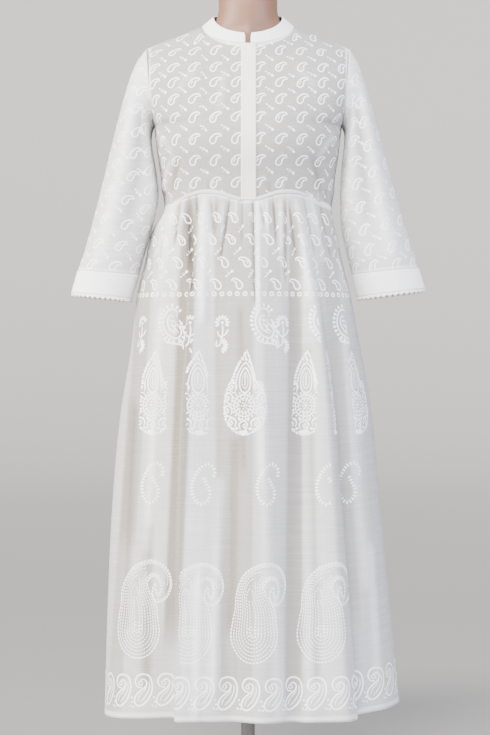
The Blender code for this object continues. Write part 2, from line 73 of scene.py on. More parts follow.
# How far the cloth is in front of the form's middle, where creases and print are placed
BODICE_NEAR, BODICE_PRINT_NEAR = 0.115, 0.11
CREASE_NEAR, SKIRT_NEAR, LOW_NEAR = 0.14, 0.13, 0.15

# Walls, seams and strips
SEAM = 0.0001
NECK_SEAM = 0.0012
WAIST_SEAM = 0.0001
SHOULDER_SEAM = 0.0002
ARMHOLE_SEAM = 0.0006
STRIP = 0.004
TAPE_WALL = 0.0016

# Bodice, and the oval of its waist
SIDE_Z, SIDE_X = 1.064, 0.150
WAIST_FRONT, WAIST_BACK, WAIST_SQUARE = 0.103, 0.088, 2.30
ARMPIT_Z, ARMPIT_X = 1.212, 0.168
SHOULDER_Z, SHOULDER_X = 1.350, 0.182
ARMHOLE_DEPTH = 0.055
TOP_LEVEL = 11
SHOULDER_ROUNDING = 8
NECK_X, NECK_FRONT, NECK_BACK = 0.082, 0.070, 0.062
NECK_Z, NECK_DROP, NECK_RISE = 1.390, 0.037, 0.010
NECK_EDGE = (NECK_X + NECK_SEAM) / SHOULDER_X

# Collar, with a notch rounded at the top, then placket and seam bands, which are a share of
# the seam's strip, swell outwards and taper to their tips
COLLAR_X, COLLAR_FRONT, COLLAR_BACK = 0.061, 0.057, 0.053
COLLAR_Z, COLLAR_DROP, COLLAR_RISE = 1.408, 0.0355, 0.010
NOTCH, NOTCH_ROUNDING, NOTCH_ROUNDED = 0.0048, 0.35, 0.2
PLACKET_X, PLACKET_WIDTH = 0.0009, 0.027
BAND_ENDS = {LEFT: 0.80, RIGHT: 0.70}
BAND_SHARE, BAND_SWELL, BAND_TIP, BAND_TAPER = 0.8, 0.0016, 0.45, 0.35

# Skirt, cuffs, lace, form and stand
HEM_Z = 0.165
HEM_LEFT, HEM_RIGHT = 0.008, -0.014
HEM_DEPTH = 0.0085
SKIRT_STRIP = 0.0044
GATHER_TOP, GATHER_X = 1.066, 0.143
# Gathers of the back: stray from an even spacing, lean outwards and stray of the foot, then
# length in metres, and half-width and height in millimetres, each from least to most
GATHER_STRAY, GATHER_LEAN, FOOT_STRAY = 0.25, 1.6, 0.004
GATHER_LENGTH, GATHER_WIDTH, GATHER_HEIGHT = (0.045, 0.13), (2.6, 4.0), (2.0, 3.6)
# Main pleat: how fast its edges settle, how it grows, and how far columns are drawn to it
PLEAT_SETTLES, PLEAT_GROWS, PLEAT_REACH, PLEAT_DRAW = 5, 0.8, 0.12, 0.6
FOLD_GROWS = 0.25
# How steeply folds and creases die out beside the skirt's side seams
FOLD_SIDES, CREASE_SIDES = 4, 6
# Rows crowd to the seam, and creases end short of the seam
ROW_CROWDING, CREASE_MARGIN = 1.15, 0.012
CUFF_TOP, CUFF_FOOT, CUFF_LENGTH = 1.0, 1.12, 0.041
# Shares of the sleeve over which its head settles, and its folds grow and fade
HEAD_SETTLES, SLEEVE_GROWS, SLEEVE_FADES = 0.08, 0.2, 0.25
TEETH = 36
LACE_BAND, TOOTH, TOOTH_POINT = 0.0022, 0.0044, 0.7
FORM_CLEAR = 0.0006
SHOULDER_END_X = 0.1575
POLE_RADIUS = 0.0125
POLE_EDGE = 0.0008
BASE_RADIUS, BASE_HEIGHT, BASE_EDGE = 0.190, 0.012, 0.003
POLE_SIDES, BASE_SIDES, FORM_SIDES = 48, 96, 96
FORM_ANGLE, STAND_ANGLE = math.radians(72), math.radians(35)

# Creases die out over a share of their length, or this many metres, and count as layers: their troughs
# get painted shade and their ridges painted light
CREASE_SHARE, CREASE_END = 0.35, 0.03
# Shares of the bodice's height at its foot and top over which creases fade
BODICE_FOOT_FADE, BODICE_TOP_FADE = 0.02, 0.05
# Crease height for one step of painted shade or light, then the most painted shade and the most painted
# light a crease gives
CREASE_SHADE_STEP, DEEPEST_CREASE_SHADE, BRIGHTEST_CREASE_LIGHT = 0.005, -0.85, 0.5
# Layers of cloth, as marked on the panels: 0 is one layer, less lies on the form behind. The marks also
# carry painted shade in creases and valleys and painted light on ridges and lit pleats
ALLOWANCE, END_ALLOWANCE, WAIST_ALLOWANCE = 0.010, 0.006, 0.005
DOUBLED, DOUBLED_EDGE = 0.9, 0.0015
BODICE_SUNK = 0.34
BAND_LAYERS = 0.55
# Sleeves are marked lighter all over; a painted highlight grows over the sleeve head from a share of its
# length over a share, and fold heights paint shade in troughs and light on ridges
SLEEVE_LAYERS, SHOULDER_HIGHLIGHT, SHOULDER_FROM, SHOULDER_OVER = 0.45, 0.35, 0.62, 0.3
FOLD_SHADE = 130
# Bands of painted light and shade down the skirt soften over pixels at their edges, and shares of their
# length at the ends
TONE_EDGE, TONE_TOP, TONE_FOOT = 4.0, 0.08, 0.12
ALPHA_RANGE = (0.62, 0.82)

# Columns and rows of each panel's grid
GRIDS = {
    "bodice_front": (70, 110), "bodice_back": (140, 110), "skirt_front": (250, 170),
    "skirt_back": (200, 150), "sleeve": (112, 100), "cuff": (112, 14), "cuff_lace": (12 * TEETH, 3),
    "collar": (150, 12), "placket": (12, 110), "seam_band": (60, 8),
}

# Lowest and highest colour of the plain materials
TINTS = {
    "plain_cotton": ((0.86, 0.86, 0.855), (0.95, 0.95, 0.94)),
    "tape": ((0.76, 0.74, 0.69), (0.98, 0.965, 0.925)),
    "thread": ((0.86, 0.86, 0.85), (0.96, 0.96, 0.95)),
    "lace": ((0.86, 0.86, 0.85), (0.97, 0.97, 0.96)),
    "steel": ((0.22, 0.215, 0.21), (0.30, 0.29, 0.285)),
}
TAPE_STRIPE, TAPE_BEAD, TAPE_DIAMOND = 0.0034, 0.0030, 0.0032

# Stage: a round floor that curves up into a wall, lights aimed at the dress, and the sky
FLOOR_RADIUS, CORNER_RADIUS, WALL_TOP = 11.0, 9.0, 14.0
FLOOR_SIDES, CORNER_STEPS = 96, 24
AIM = (0, 0, 0.85)
SKY, SKY_STRENGTH = (0.88, 0.92, 1.0, 1), 1.08
# Lights: name, kind, place, size or angle, strength, colour
LIGHTS = (
    ("key_light", "SUN", (-0.9, -4.0, 3.6), 0.40, 12.4, (1.0, 0.985, 0.96)),
    ("side_light", "AREA", (-3.2, -1.9, 2.0), 2.0, 520.0, (1.0, 0.955, 0.89)),
    ("fill_light", "AREA", (2.9, -3.0, 1.9), 2.4, 270.0, (0.76, 0.80, 1.0)),
)

# Stitch lines: the edge they follow and metres from it
STITCHES = {
    "skirt_front": [("up", HEM_DEPTH)], "skirt_back": [("up", HEM_DEPTH)],
    "collar": [("up", 0.0025), ("down", 0.0025)],
    "cuff_left": [("down", 0.0025), ("down", 0.011), ("up", 0.011), ("up", 0.003)],
    "cuff_right": [("down", 0.0025), ("down", 0.011), ("up", 0.011), ("up", 0.003)],
    "placket": [("left", 0.0018), ("right", 0.0018)],
    "bodice_front_left": [("left", 0.009)], "bodice_front_right": [("right", 0.009)],
    "sleeve_left": [("up", 0.004)], "sleeve_right": [("up", 0.004)],
    "bodice_back": [("left", 0.009), ("right", 0.009)],
    "seam_band_left": [("up", 0.0012), ("down", 0.0012)],
    "seam_band_right": [("up", 0.0012), ("down", 0.0012)],
}
STITCH_LIFT, STITCH_LENGTH, STITCH_GAP = 0.00015, 0.0024, 0.0012
STITCH_RUN = np.linspace(0.002, 0.998, 400)


class Rows:
    """Rows of sizes, read on a smooth curve through them by the first column."""

    def __init__(self, names, rows):
        self.names = names.split()
        self.table = np.array(rows, float)

    def __call__(self, name, value):
        keys, marks = self.table[:, 0], self.table[:, self.names.index(name)]
        last = len(keys) - 1
        value = np.clip(value, keys[0], keys[-1])
        i = np.clip(np.searchsorted(keys, value, side="right") - 1, 0, last - 1)
        span, rise = keys[i + 1] - keys[i], marks[i + 1] - marks[i]

        def slope(k):
            low, high = np.maximum(k - 1, 0), np.minimum(k + 1, last)
            return (marks[high] - marks[low]) / (keys[high] - keys[low]) * span

        t = (value - keys[i]) / span
        start, end = slope(i), slope(i + 1)
        return marks[i] + t * (start + t * (3 * rise - 2 * start - end + t * (start + end - 2 * rise)))


FRONT_SEAM = Rows("across z", [
    (0.00, 1.074), (0.10, 1.0745), (0.22, 1.080), (0.36, 1.0865),
    (0.52, 1.088), (0.68, 1.083), (0.84, 1.073), (1.00, SIDE_Z),
])
BACK_SEAM = Rows("across z", [(0.0, 1.072), (0.5, 1.070), (1.0, SIDE_Z)])
SIDE_SEAM = Rows("up x", [
    (0.00, SIDE_X), (0.027, SIDE_X), (0.36, 0.1555), (0.70, 0.1630), (1.00, ARMPIT_X),
])
LEVELS = Rows("level rise edge", [
    (0, 0.000, 0.000), (1, 0.014, 0.027), (2, 0.160, 0.360), (3, 0.310, 0.700),
    (4, 0.450, 1.000), (5, 0.560, 1.143), (6, 0.660, 1.286), (7, 0.750, 1.429),
    (8, 0.830, 1.571), (9, 0.900, 1.714), (10, 0.956, 1.857), (11, 1.000, 2.000),
])
BODY = Rows("z front back square", [
    (SIDE_Z, WAIST_FRONT, WAIST_BACK, WAIST_SQUARE),
    (SIDE_Z + STRIP, WAIST_FRONT, WAIST_BACK, WAIST_SQUARE),
    (1.112, 0.112, 0.091, 2.40), (1.160, 0.1235, 0.096, 2.55), (1.195, 0.124, 0.099, 2.50),
    (1.225, 0.117, 0.101, 2.40), (1.260, 0.1055, 0.102, 2.30), (1.290, 0.0960, 0.099, 2.20),
    (1.320, 0.0850, 0.0935, 2.10), (NECK_Z - NECK_DROP, NECK_FRONT + NECK_SEAM, 0.084, 2.00),
    (NECK_Z + NECK_RISE, 0.060, NECK_BACK + NECK_SEAM, 2.00),
])
SKIRT = Rows("fall left right front back square", [
    (0.0, SIDE_X, SIDE_X, WAIST_FRONT, WAIST_BACK, WAIST_SQUARE),
    (SKIRT_STRIP, SIDE_X, SIDE_X, WAIST_FRONT, WAIST_BACK, WAIST_SQUARE),
    (0.0160, 0.155, 0.151, 0.107, 0.093, 2.25), (0.0340, 0.167, 0.154, 0.113, 0.099, 2.20),
    (0.0620, 0.1765, 0.160, 0.120, 0.107, 2.15), (0.1050, 0.184, 0.168, 0.128, 0.116, 2.10),
    (0.1750, 0.199, 0.183, 0.137, 0.127, 2.10), (0.2800, 0.210, 0.201, 0.146, 0.138, 2.10),
    (0.4200, 0.230, 0.222, 0.152, 0.148, 2.10), (0.6000, 0.244, 0.237, 0.157, 0.157, 2.10),
    (0.8000, 0.252, 0.254, 0.161, 0.164, 2.15), (1.0000, 0.257, 0.271, 0.164, 0.170, 2.20),
])
HEM = Rows("across drop", [(-1.0, HEM_LEFT), (-0.5, 0.0), (0.6, 0.0), (1.0, HEM_RIGHT)])

# Main pleat of the skirt: left edge at the top and hem, right edge, softness and height,
# in shares of the half-width but for the height
FRONT_STEP = (-0.548, -0.478, 0.63, 0.66, 0.022, 0.030)
BACK_STEP = (-0.55, -0.60, 0.50, 0.52, 0.040, 0.016)
# Ridges and valleys: place at the top and hem, width on the left and right, height, start
FRONT_FOLDS = [
    (-0.90, -0.93, 0.10, 0.10, 0.0060, 0.02), (-0.565, -0.495, 0.17, 0.03, -0.0170, 0.01),
    (-0.50, -0.43, 0.03, 0.10, 0.0090, 0.02), (-0.31, -0.09, 0.11, 0.11, -0.0140, 0.10),
    (0.05, 0.10, 0.12, 0.12, 0.0080, 0.03), (0.50, 0.28, 0.11, 0.06, -0.0170, 0.03),
    (0.58, 0.58, 0.10, 0.05, 0.0120, 0.03), (0.70, 0.72, 0.04, 0.13, -0.0100, 0.05),
    (0.86, 0.89, 0.06, 0.06, 0.0050, 0.15),
]
BACK_FOLDS = [
    (-0.82, -0.84, 0.10, 0.10, 0.0080, 0.04), (-0.42, -0.44, 0.10, 0.08, 0.0110, 0.06),
    (-0.22, -0.16, 0.14, 0.08, -0.0150, 0.08), (0.06, 0.08, 0.11, 0.11, 0.0110, 0.05),
    (0.26, 0.30, 0.08, 0.14, -0.0120, 0.10), (0.72, 0.80, 0.10, 0.10, 0.0080, 0.12),
]
SLEEVES = {
    LEFT: Rows("along out_x out_z in_x in_z depth y", [
        (0.00, 0.1820, 1.350, 0.1680, 1.212, 0.0550, 0.000),
        (0.08, 0.1990, 1.327, 0.1735, 1.197, 0.0560, 0.000),
        (0.18, 0.2130, 1.293, 0.1735, 1.176, 0.0555, -0.002),
        (0.34, 0.2290, 1.237, 0.1665, 1.135, 0.0540, -0.006),
        (0.52, 0.2490, 1.155, 0.1615, 1.085, 0.0520, -0.010),
        (0.70, 0.2700, 1.068, 0.1712, 1.033, 0.0500, -0.014),
        (0.87, 0.2900, 0.994, 0.1850, 0.984, 0.0480, -0.017),
        (1.00, 0.3040, 0.951, 0.1965, 0.943, 0.0460, -0.019),
        (1.12, 0.3150, 0.912, 0.2100, 0.901, 0.0440, -0.020),
    ]),
    RIGHT: Rows("along out_x out_z in_x in_z depth y", [
        (0.00, 0.1820, 1.350, 0.1680, 1.212, 0.0550, 0.000),
        (0.08, 0.1985, 1.322, 0.1740, 1.198, 0.0560, 0.000),
        (0.18, 0.2105, 1.287, 0.1735, 1.178, 0.0555, -0.002),
        (0.34, 0.2280, 1.228, 0.1690, 1.138, 0.0540, -0.006),
        (0.52, 0.2500, 1.145, 0.1660, 1.083, 0.0520, -0.010),
        (0.70, 0.2730, 1.060, 0.1690, 1.025, 0.0510, -0.014),
        (0.87, 0.2940, 0.990, 0.1790, 0.977, 0.0500, -0.017),
        (1.00, 0.3050, 0.955, 0.1870, 0.944, 0.0485, -0.019),
        (1.12, 0.3160, 0.919, 0.1970, 0.904, 0.0465, -0.020),
    ]),
}
# Creases round a sleeve in degrees, 90 at the front: top, foot, width, height, start, stop
SLEEVE_CREASES = {
    LEFT: [
        (58, 66, 16, 0.0040, 0.10, 1.10), (98, 104, 18, -0.0045, 0.05, 0.90),
        (140, 128, 16, 0.0035, 0.06, 0.80), (265, 262, 20, -0.0040, 0.08, 1.00),
    ],
    RIGHT: [
        (50, 74, 16, 0.0045, 0.06, 1.05), (80, 106, 16, -0.0050, 0.04, 0.85),
        (120, 140, 16, 0.0040, 0.04, 0.70), (262, 270, 20, -0.0040, 0.08, 1.00),
    ],
}
# The form's rings: height, half-width, depth in front and behind, squareness. At the
# shoulders the half-width follows the dress.
FORM_TRUNK = [
    (0.597, 0.150, 0.100, 0.105, 2.1), (0.660, 0.160, 0.105, 0.116, 2.1),
    (0.740, 0.164, 0.107, 0.122, 2.1), (0.840, 0.153, 0.102, 0.110, 2.1),
    (0.930, 0.132, 0.093, 0.092, 2.1), (0.990, 0.123, 0.087, 0.083, 2.1),
    (1.045, 0.131, 0.090, 0.080, 2.2), (1.095, 0.1435, 0.098, 0.084, 2.3),
    (1.165, 0.1545, 0.117, 0.091, 2.4), (1.220, 0.1570, 0.111, 0.095, 2.2),
    (1.270, 0.1575, 0.096, 0.095, 2.0), (1.310, 0.1575, 0.082, 0.088, 1.7),
    (1.338, 0.1575, 0.073, 0.079, 1.4),
]
FORM_SHOULDERS = [
    (1.3592, 0.063, 0.071, 1.12), (1.3700, 0.056, 0.064, 1.02),
    (1.3800, 0.0515, 0.058, 1.08), (1.3865, 0.0500, 0.053, 1.25),
]
FORM_NECK = [
    (1.3910, 0.0680, 0.0490, 0.0510, 1.6), (1.4020, 0.0570, 0.0485, 0.0495, 1.95),
    (1.4180, 0.0530, 0.0480, 0.0485, 2.0), (1.4640, 0.0525, 0.0475, 0.0475, 2.0),
    (1.4680, 0.0495, 0.0445, 0.0445, 2.0),
]

# Creases by where the photograph shows them, in its pixels: start, end, then half-width
# and height in millimetres, with a minus for a trough
SKIRT_FRONT_CREASES = [
    (157, 196, 147, 246, 3.0, -4.4), (166, 194, 156, 262, 3.4, 3.6), (179, 192, 173, 250, 2.3, -6.6),
    (173, 194, 156, 310, 6.0, 5.0), (184, 192, 182, 232, 2.6, 3.6), (188, 190, 192, 300, 4.6, -7.0),
    (195, 190, 198, 222, 2.0, -6.0), (205, 190, 203, 330, 6.0, 5.4), (210, 190, 214, 240, 2.0, -6.6),
    (217, 193, 215, 240, 2.2, -4.0), (223, 192, 222, 252, 3.0, 3.0), (231, 192, 219, 268, 2.3, -5.4),
    (237, 192, 236, 226, 2.4, 2.6), (243, 192, 242, 250, 2.2, -2.6), (253, 190, 255, 312, 2.4, -5.4),
    (259, 192, 259, 320, 4.4, 4.0), (259, 198, 265, 228, 1.9, -4.4), (267, 192, 269, 240, 2.6, 3.0),
    (273, 192, 277, 246, 2.1, -4.8), (281, 192, 282, 260, 3.0, 3.0), (286, 192, 286, 286, 2.3, -5.0),
    (289, 196, 297, 262, 2.0, -4.6), (296, 192, 313, 306, 5.6, 4.2), (304, 192, 318, 262, 2.3, -4.2),
    (312, 194, 326, 268, 3.6, 3.0), (321, 196, 334, 262, 2.6, -4.0), (330, 198, 344, 258, 3.0, 2.6),
    (235, 430, 232, 640, 9.0, -3.4), (262, 380, 268, 600, 10.0, 3.2), (222, 470, 214, 700, 8.0, 3.0),
    (160, 300, 146, 560, 8.0, 3.6), (345, 330, 368, 600, 8.0, 3.2), (308, 340, 318, 690, 8.0, -3.2),
    (150, 520, 146, 700, 9.0, -4.4), (372, 540, 380, 690, 8.0, 3.6), (275, 560, 280, 730, 9.0, 3.8),
    (241, 300, 244, 480, 6.0, -2.6), (134, 400, 124, 640, 6.0, -3.0), (200, 560, 196, 730, 7.0, 2.8),
]
BODICE_CREASES = [
    (181, 148, 168, 201, 4.5, -3.2), (174, 150, 158, 196, 4.5, 2.6), (312, 150, 324, 200, 5.0, -2.6),
    (157, 128, 176, 158, 4.0, 2.2), (338, 126, 316, 162, 4.0, 2.2), (226, 60, 219, 120, 7.0, 1.6),
    (200, 60, 172, 96, 8.0, 1.5), (292, 58, 322, 92, 8.0, 1.6), (164, 186, 161, 204, 2.2, -2.6),
    (172, 187, 170, 203, 2.2, 2.2), (326, 186, 328, 204, 2.4, -2.6), (318, 188, 319, 203, 2.2, 2.2),
    (190, 178, 189, 197, 2.6, 1.6), (208, 178, 209, 196, 2.4, -1.6), (284, 178, 283, 196, 2.6, 1.6),
    (270, 180, 270, 196, 2.4, -1.6), (334, 178, 336, 203, 2.4, 2.0),
]
# Bands down the skirt, by the photograph's pixels: left and right edge and height at the
# top, the same at the foot, then how much pleats double the cloth and take painted light, or a
# minus for painted shade in valleys where a single layer sinks towards the form and lets it show
FRONT_SHADE_BANDS = [
    (198, 213, 196, 178, 216, 735, 0.50), (254, 263, 196, 257, 265, 500, 0.45),
    (299, 313, 196, 305, 349, 735, 0.40), (166, 180, 196, 140, 163, 640, 0.40),
    (183, 199, 205, 163, 178, 660, -1.00), (226, 253, 215, 236, 252, 735, -0.42),
    (290, 303, 205, 284, 301, 735, -0.55), (213, 225, 205, 222, 238, 735, -0.45),
    (143, 156, 215, 118, 134, 560, -0.55), (268, 276, 200, 268, 282, 300, -0.35),
    (318, 334, 205, 352, 362, 640, -0.30), (128, 136, 400, 105, 120, 735, -0.45),
]
BACK_SHADE_BANDS = [
    (186, 206, 196, 176, 196, 735, 0.45), (214, 236, 205, 208, 226, 560, -0.70),
    (246, 262, 196, 252, 268, 735, 0.45), (276, 294, 205, 284, 302, 640, -0.70),
    (306, 318, 196, 326, 344, 735, 0.40), (158, 172, 210, 134, 152, 520, -0.45),
]
# Creases of the back, in metres across and up, then as above
SKIRT_BACK_LONG = [
    (-0.12, 0.90, -0.17, 0.30, 9.0, 2.6), (-0.03, 0.86, -0.05, 0.26, 10.0, -2.6),
    (0.05, 0.80, 0.07, 0.22, 9.0, 2.4), (0.12, 0.88, 0.18, 0.34, 9.0, -2.2),
    (0.00, 0.60, 0.01, 0.18, 8.0, 2.2), (-0.19, 0.60, -0.21, 0.20, 8.0, -2.4),
]
BODICE_BACK_CREASES = [
    (-0.10, 1.20, -0.03, 1.15, 7.0, 1.4), (0.10, 1.21, 0.03, 1.14, 7.0, 1.4),
    (-0.12, 1.10, -0.09, 1.07, 4.0, -1.2), (0.11, 1.11, 0.08, 1.072, 4.0, -1.2),
    (-0.03, 1.14, -0.04, 1.075, 6.0, 1.2), (0.04, 1.13, 0.035, 1.074, 6.0, 1.0),
    (-0.13, 1.27, -0.06, 1.31, 7.0, 1.0), (0.13, 1.27, 0.06, 1.31, 7.0, 1.0),
]


def ease(t):
    """From 0 to 1 with soft ends."""
    t = np.clip(t, 0.0, 1.0)
    return t * t * (3 - 2 * t)


def mix(a, b, t):
    return a + (b - a) * t


def bow(share, square):
    """Depth of a squared oval at a share of its half-width, from 1 to 0."""
    return np.maximum(0.0, 1 - np.minimum(np.abs(share), 1.0) ** square) ** (1 / square)


def stack(x, y, z):
    return np.stack(np.broadcast_arrays(x, y, z), axis=-1)


def seen(px, py, near=SKIRT_NEAR):
    """Metres across and up of a pixel, on cloth that far in front of the middle."""
    scale = PIXEL * (CAMERA_AWAY - near) / CAMERA_AWAY
    return CAMERA_X + (px - IMAGE_WIDTH / 2) * scale, CAMERA_Z + (MIDDLE_PY - py) * scale


# The forms of the panels
def seam_z(across, face):
    """Height of the seam under the bust, at a share of the half-width."""
    return (FRONT_SEAM if face == FRONT else BACK_SEAM)("z", across)


def bodice_point(across, level, face, side):
    """A point of the bodice's inner face. across is 0 at the centre, 1 at the edge."""
    edge = LEVELS("edge", level)
    arm = (1 + np.sin(np.pi * (np.maximum(edge, 1) - 1.5))) / 2
    edge_x = np.where(edge <= 1, SIDE_SEAM("x", edge), mix(ARMPIT_X, SHOULDER_X, arm))
    edge_z = np.where(edge <= 1, mix(SIDE_Z, ARMPIT_Z, edge), mix(ARMPIT_Z, SHOULDER_Z, arm))
    low = seam_z(across, face)
    reach = bow(across / NECK_EDGE, 2)
    beyond = mix(NECK_Z, SHOULDER_Z, (across - NECK_EDGE) / (1 - NECK_EDGE))
    neck_y = (NECK_FRONT if face == FRONT else NECK_BACK) + NECK_SEAM
    neck_z = -NECK_DROP if face == FRONT else NECK_RISE
    top_y = np.where(across >= NECK_EDGE, 0.0, neck_y * reach)
    top_z = np.where(across >= NECK_EDGE, beyond, NECK_Z + neck_z * reach)
    up = mix(LEVELS("rise", level), (edge_z - SIDE_Z) / (SHOULDER_Z - SIDE_Z), across)
    z = mix(low, top_z, up)
    body_z = np.where(z > ARMPIT_Z, z, mix(SIDE_Z, ARMPIT_Z, (z - low) / (ARMPIT_Z - low)))
    arm_up = np.clip((body_z - ARMPIT_Z) / (SHOULDER_Z - ARMPIT_Z), 0.0, 1.0)
    edge_y = ARMHOLE_DEPTH * 2 * np.sqrt(arm_up * (1 - arm_up))
    centre = BODY("front" if face == FRONT else "back", body_z)
    depth = mix(edge_y, centre, bow(across, BODY("square", body_z)))
    over = 1 - np.sqrt(np.maximum(0.0, 1 - np.minimum(up, 1.0) ** SHOULDER_ROUNDING))
    depth = mix(depth, top_y, over)
    return stack(side * across * edge_x, face * (depth + SEAM / 2), z)


def pleat_edges(fall, face):
    """Where the main pleat starts and ends across the skirt."""
    left_top, left_hem, right_top, right_hem = (FRONT_STEP if face == FRONT else BACK_STEP)[:4]
    settled = 1 - (1 - fall) ** PLEAT_SETTLES
    return mix(left_top, left_hem, settled), mix(right_top, right_hem, settled)


def fold_height(across, fall, face):
    """How far the main folds stand out from the skirt's plain section."""
    edge, height = (FRONT_STEP if face == FRONT else BACK_STEP)[4:]
    left, right = pleat_edges(fall, face)
    inside = ease((across - left) / edge + 0.5) - ease((across - right) / edge + 0.5)
    grown = (np.maximum(fall - SKIRT_STRIP, 0.0) / (1 - SKIRT_STRIP)) ** PLEAT_GROWS
    out = height * inside * grown
    for top, hem, wide_left, wide_right, height, start in FRONT_FOLDS if face == FRONT else BACK_FOLDS:
        place = across - mix(top, hem, fall)
        place = place / np.where(place < 0, wide_left, wide_right)
        out = out + height * ease((fall - start) / FOLD_GROWS) * np.exp(-place * place)
    return out * np.minimum(1.0, (1 - across * across) * FOLD_SIDES)


def drawn_turn(turn, fall, face):
    """A turn for the grid, with its columns drawn to the edges of the main pleat."""
    across = -np.cos(turn)
    for now, hem in zip(pleat_edges(fall, face), pleat_edges(1.0, face)):
        near = np.exp(-(((across - hem) / PLEAT_REACH) ** 2))
        across = across + near * (now - hem - PLEAT_DRAW * (across - hem))
    return np.arccos(np.clip(-across, -1, 1))


def skirt_point(turn, fall, face):
    """A point of the skirt's inner face. turn is 0 at the left and pi at the right."""
    across = -np.cos(turn)
    half = np.where(across < 0, SKIRT("left", fall), SKIRT("right", fall))
    depth = SKIRT("front" if face == FRONT else "back", fall)
    reach = bow(across, SKIRT("square", fall))
    out = fold_height(across, fall, face)
    slant_x, slant_y = across / half, reach / depth
    size = np.hypot(slant_x, slant_y)
    drop = HEM("drop", across) if face == FRONT else mix(HEM_LEFT, HEM_RIGHT, (1 + across) / 2)
    return stack(
        across * half + out * slant_x / size,
        face * (depth * reach + SEAM / 2 + out * slant_y / size),
        mix(seam_z(np.abs(across), face) - WAIST_SEAM, HEM_Z - drop, fall),
    )


def sleeve_folds(turn, along, side):
    """How far the folds stand out from the sleeve's plain section."""
    place = np.degrees(turn) % 360
    out = 0.0
    for top, foot, width, height, start, stop in SLEEVE_CREASES[side]:
        grown = ease((along - start) / SLEEVE_GROWS) * ease((stop - along) / SLEEVE_FADES)
        out = out + height * grown * np.exp(-(((place - mix(top, foot, along)) / width) ** 2))
    return out


def sleeve_point(turn, along, side):
    """A point of a sleeve's inner face. turn is 0 outside and a quarter in front."""
    rows = SLEEVES[side]
    out = sleeve_folds(turn, along, side)
    half_x = (rows("out_x", along) - rows("in_x", along)) / 2
    half_z = (rows("out_z", along) - rows("in_z", along)) / 2
    reach = 1 + out / np.hypot(half_x, half_z)
    across = (rows("out_x", along) + rows("in_x", along)) / 2 + half_x * reach * np.cos(turn)
    seam = mix(SHOULDER_SEAM, ARMHOLE_SEAM, (1 - np.cos(turn)) / 2)
    across = across + seam * (1 - ease(along / HEAD_SETTLES))
    y = rows("y", along) - (rows("depth", along) + out) * np.sin(turn)
    z = (rows("out_z", along) + rows("in_z", along)) / 2 + half_z * reach * np.cos(turn)
    return stack(side * across, y, z)


def cuff_point(turn, down, side):
    """A point of a cuff's inner face, from the sleeve's foot down."""
    start = SEAM / CUFF_LENGTH
    return sleeve_point(turn, mix(CUFF_TOP, CUFF_FOOT, mix(start, 1.0, down)), side)


def collar_point(turn, up):
    """A point of the collar's inner face. turn is 0 at the front."""
    c = np.cos(turn)
    front = c > 0
    x = mix(NECK_X, COLLAR_X, up) * np.sin(turn)
    y = -np.where(front, mix(NECK_FRONT, COLLAR_FRONT, up), mix(NECK_BACK, COLLAR_BACK, up)) * c
    low = NECK_Z - np.where(front, NECK_DROP, NECK_RISE) * c
    high = COLLAR_Z - np.where(front, COLLAR_DROP, COLLAR_RISE) * c
    return stack(x, y, mix(low, high, up) + SEAM)


def sleeve_turn(share, side):
    """Turn round a sleeve at a share that runs to the right as seen from outside."""
    return 2 * np.pi * (share if side == LEFT else 1 - share)


# Panels of cloth
# Grid cells to each side that give the cloth's direction at a place
NEAR_CELLS = 3


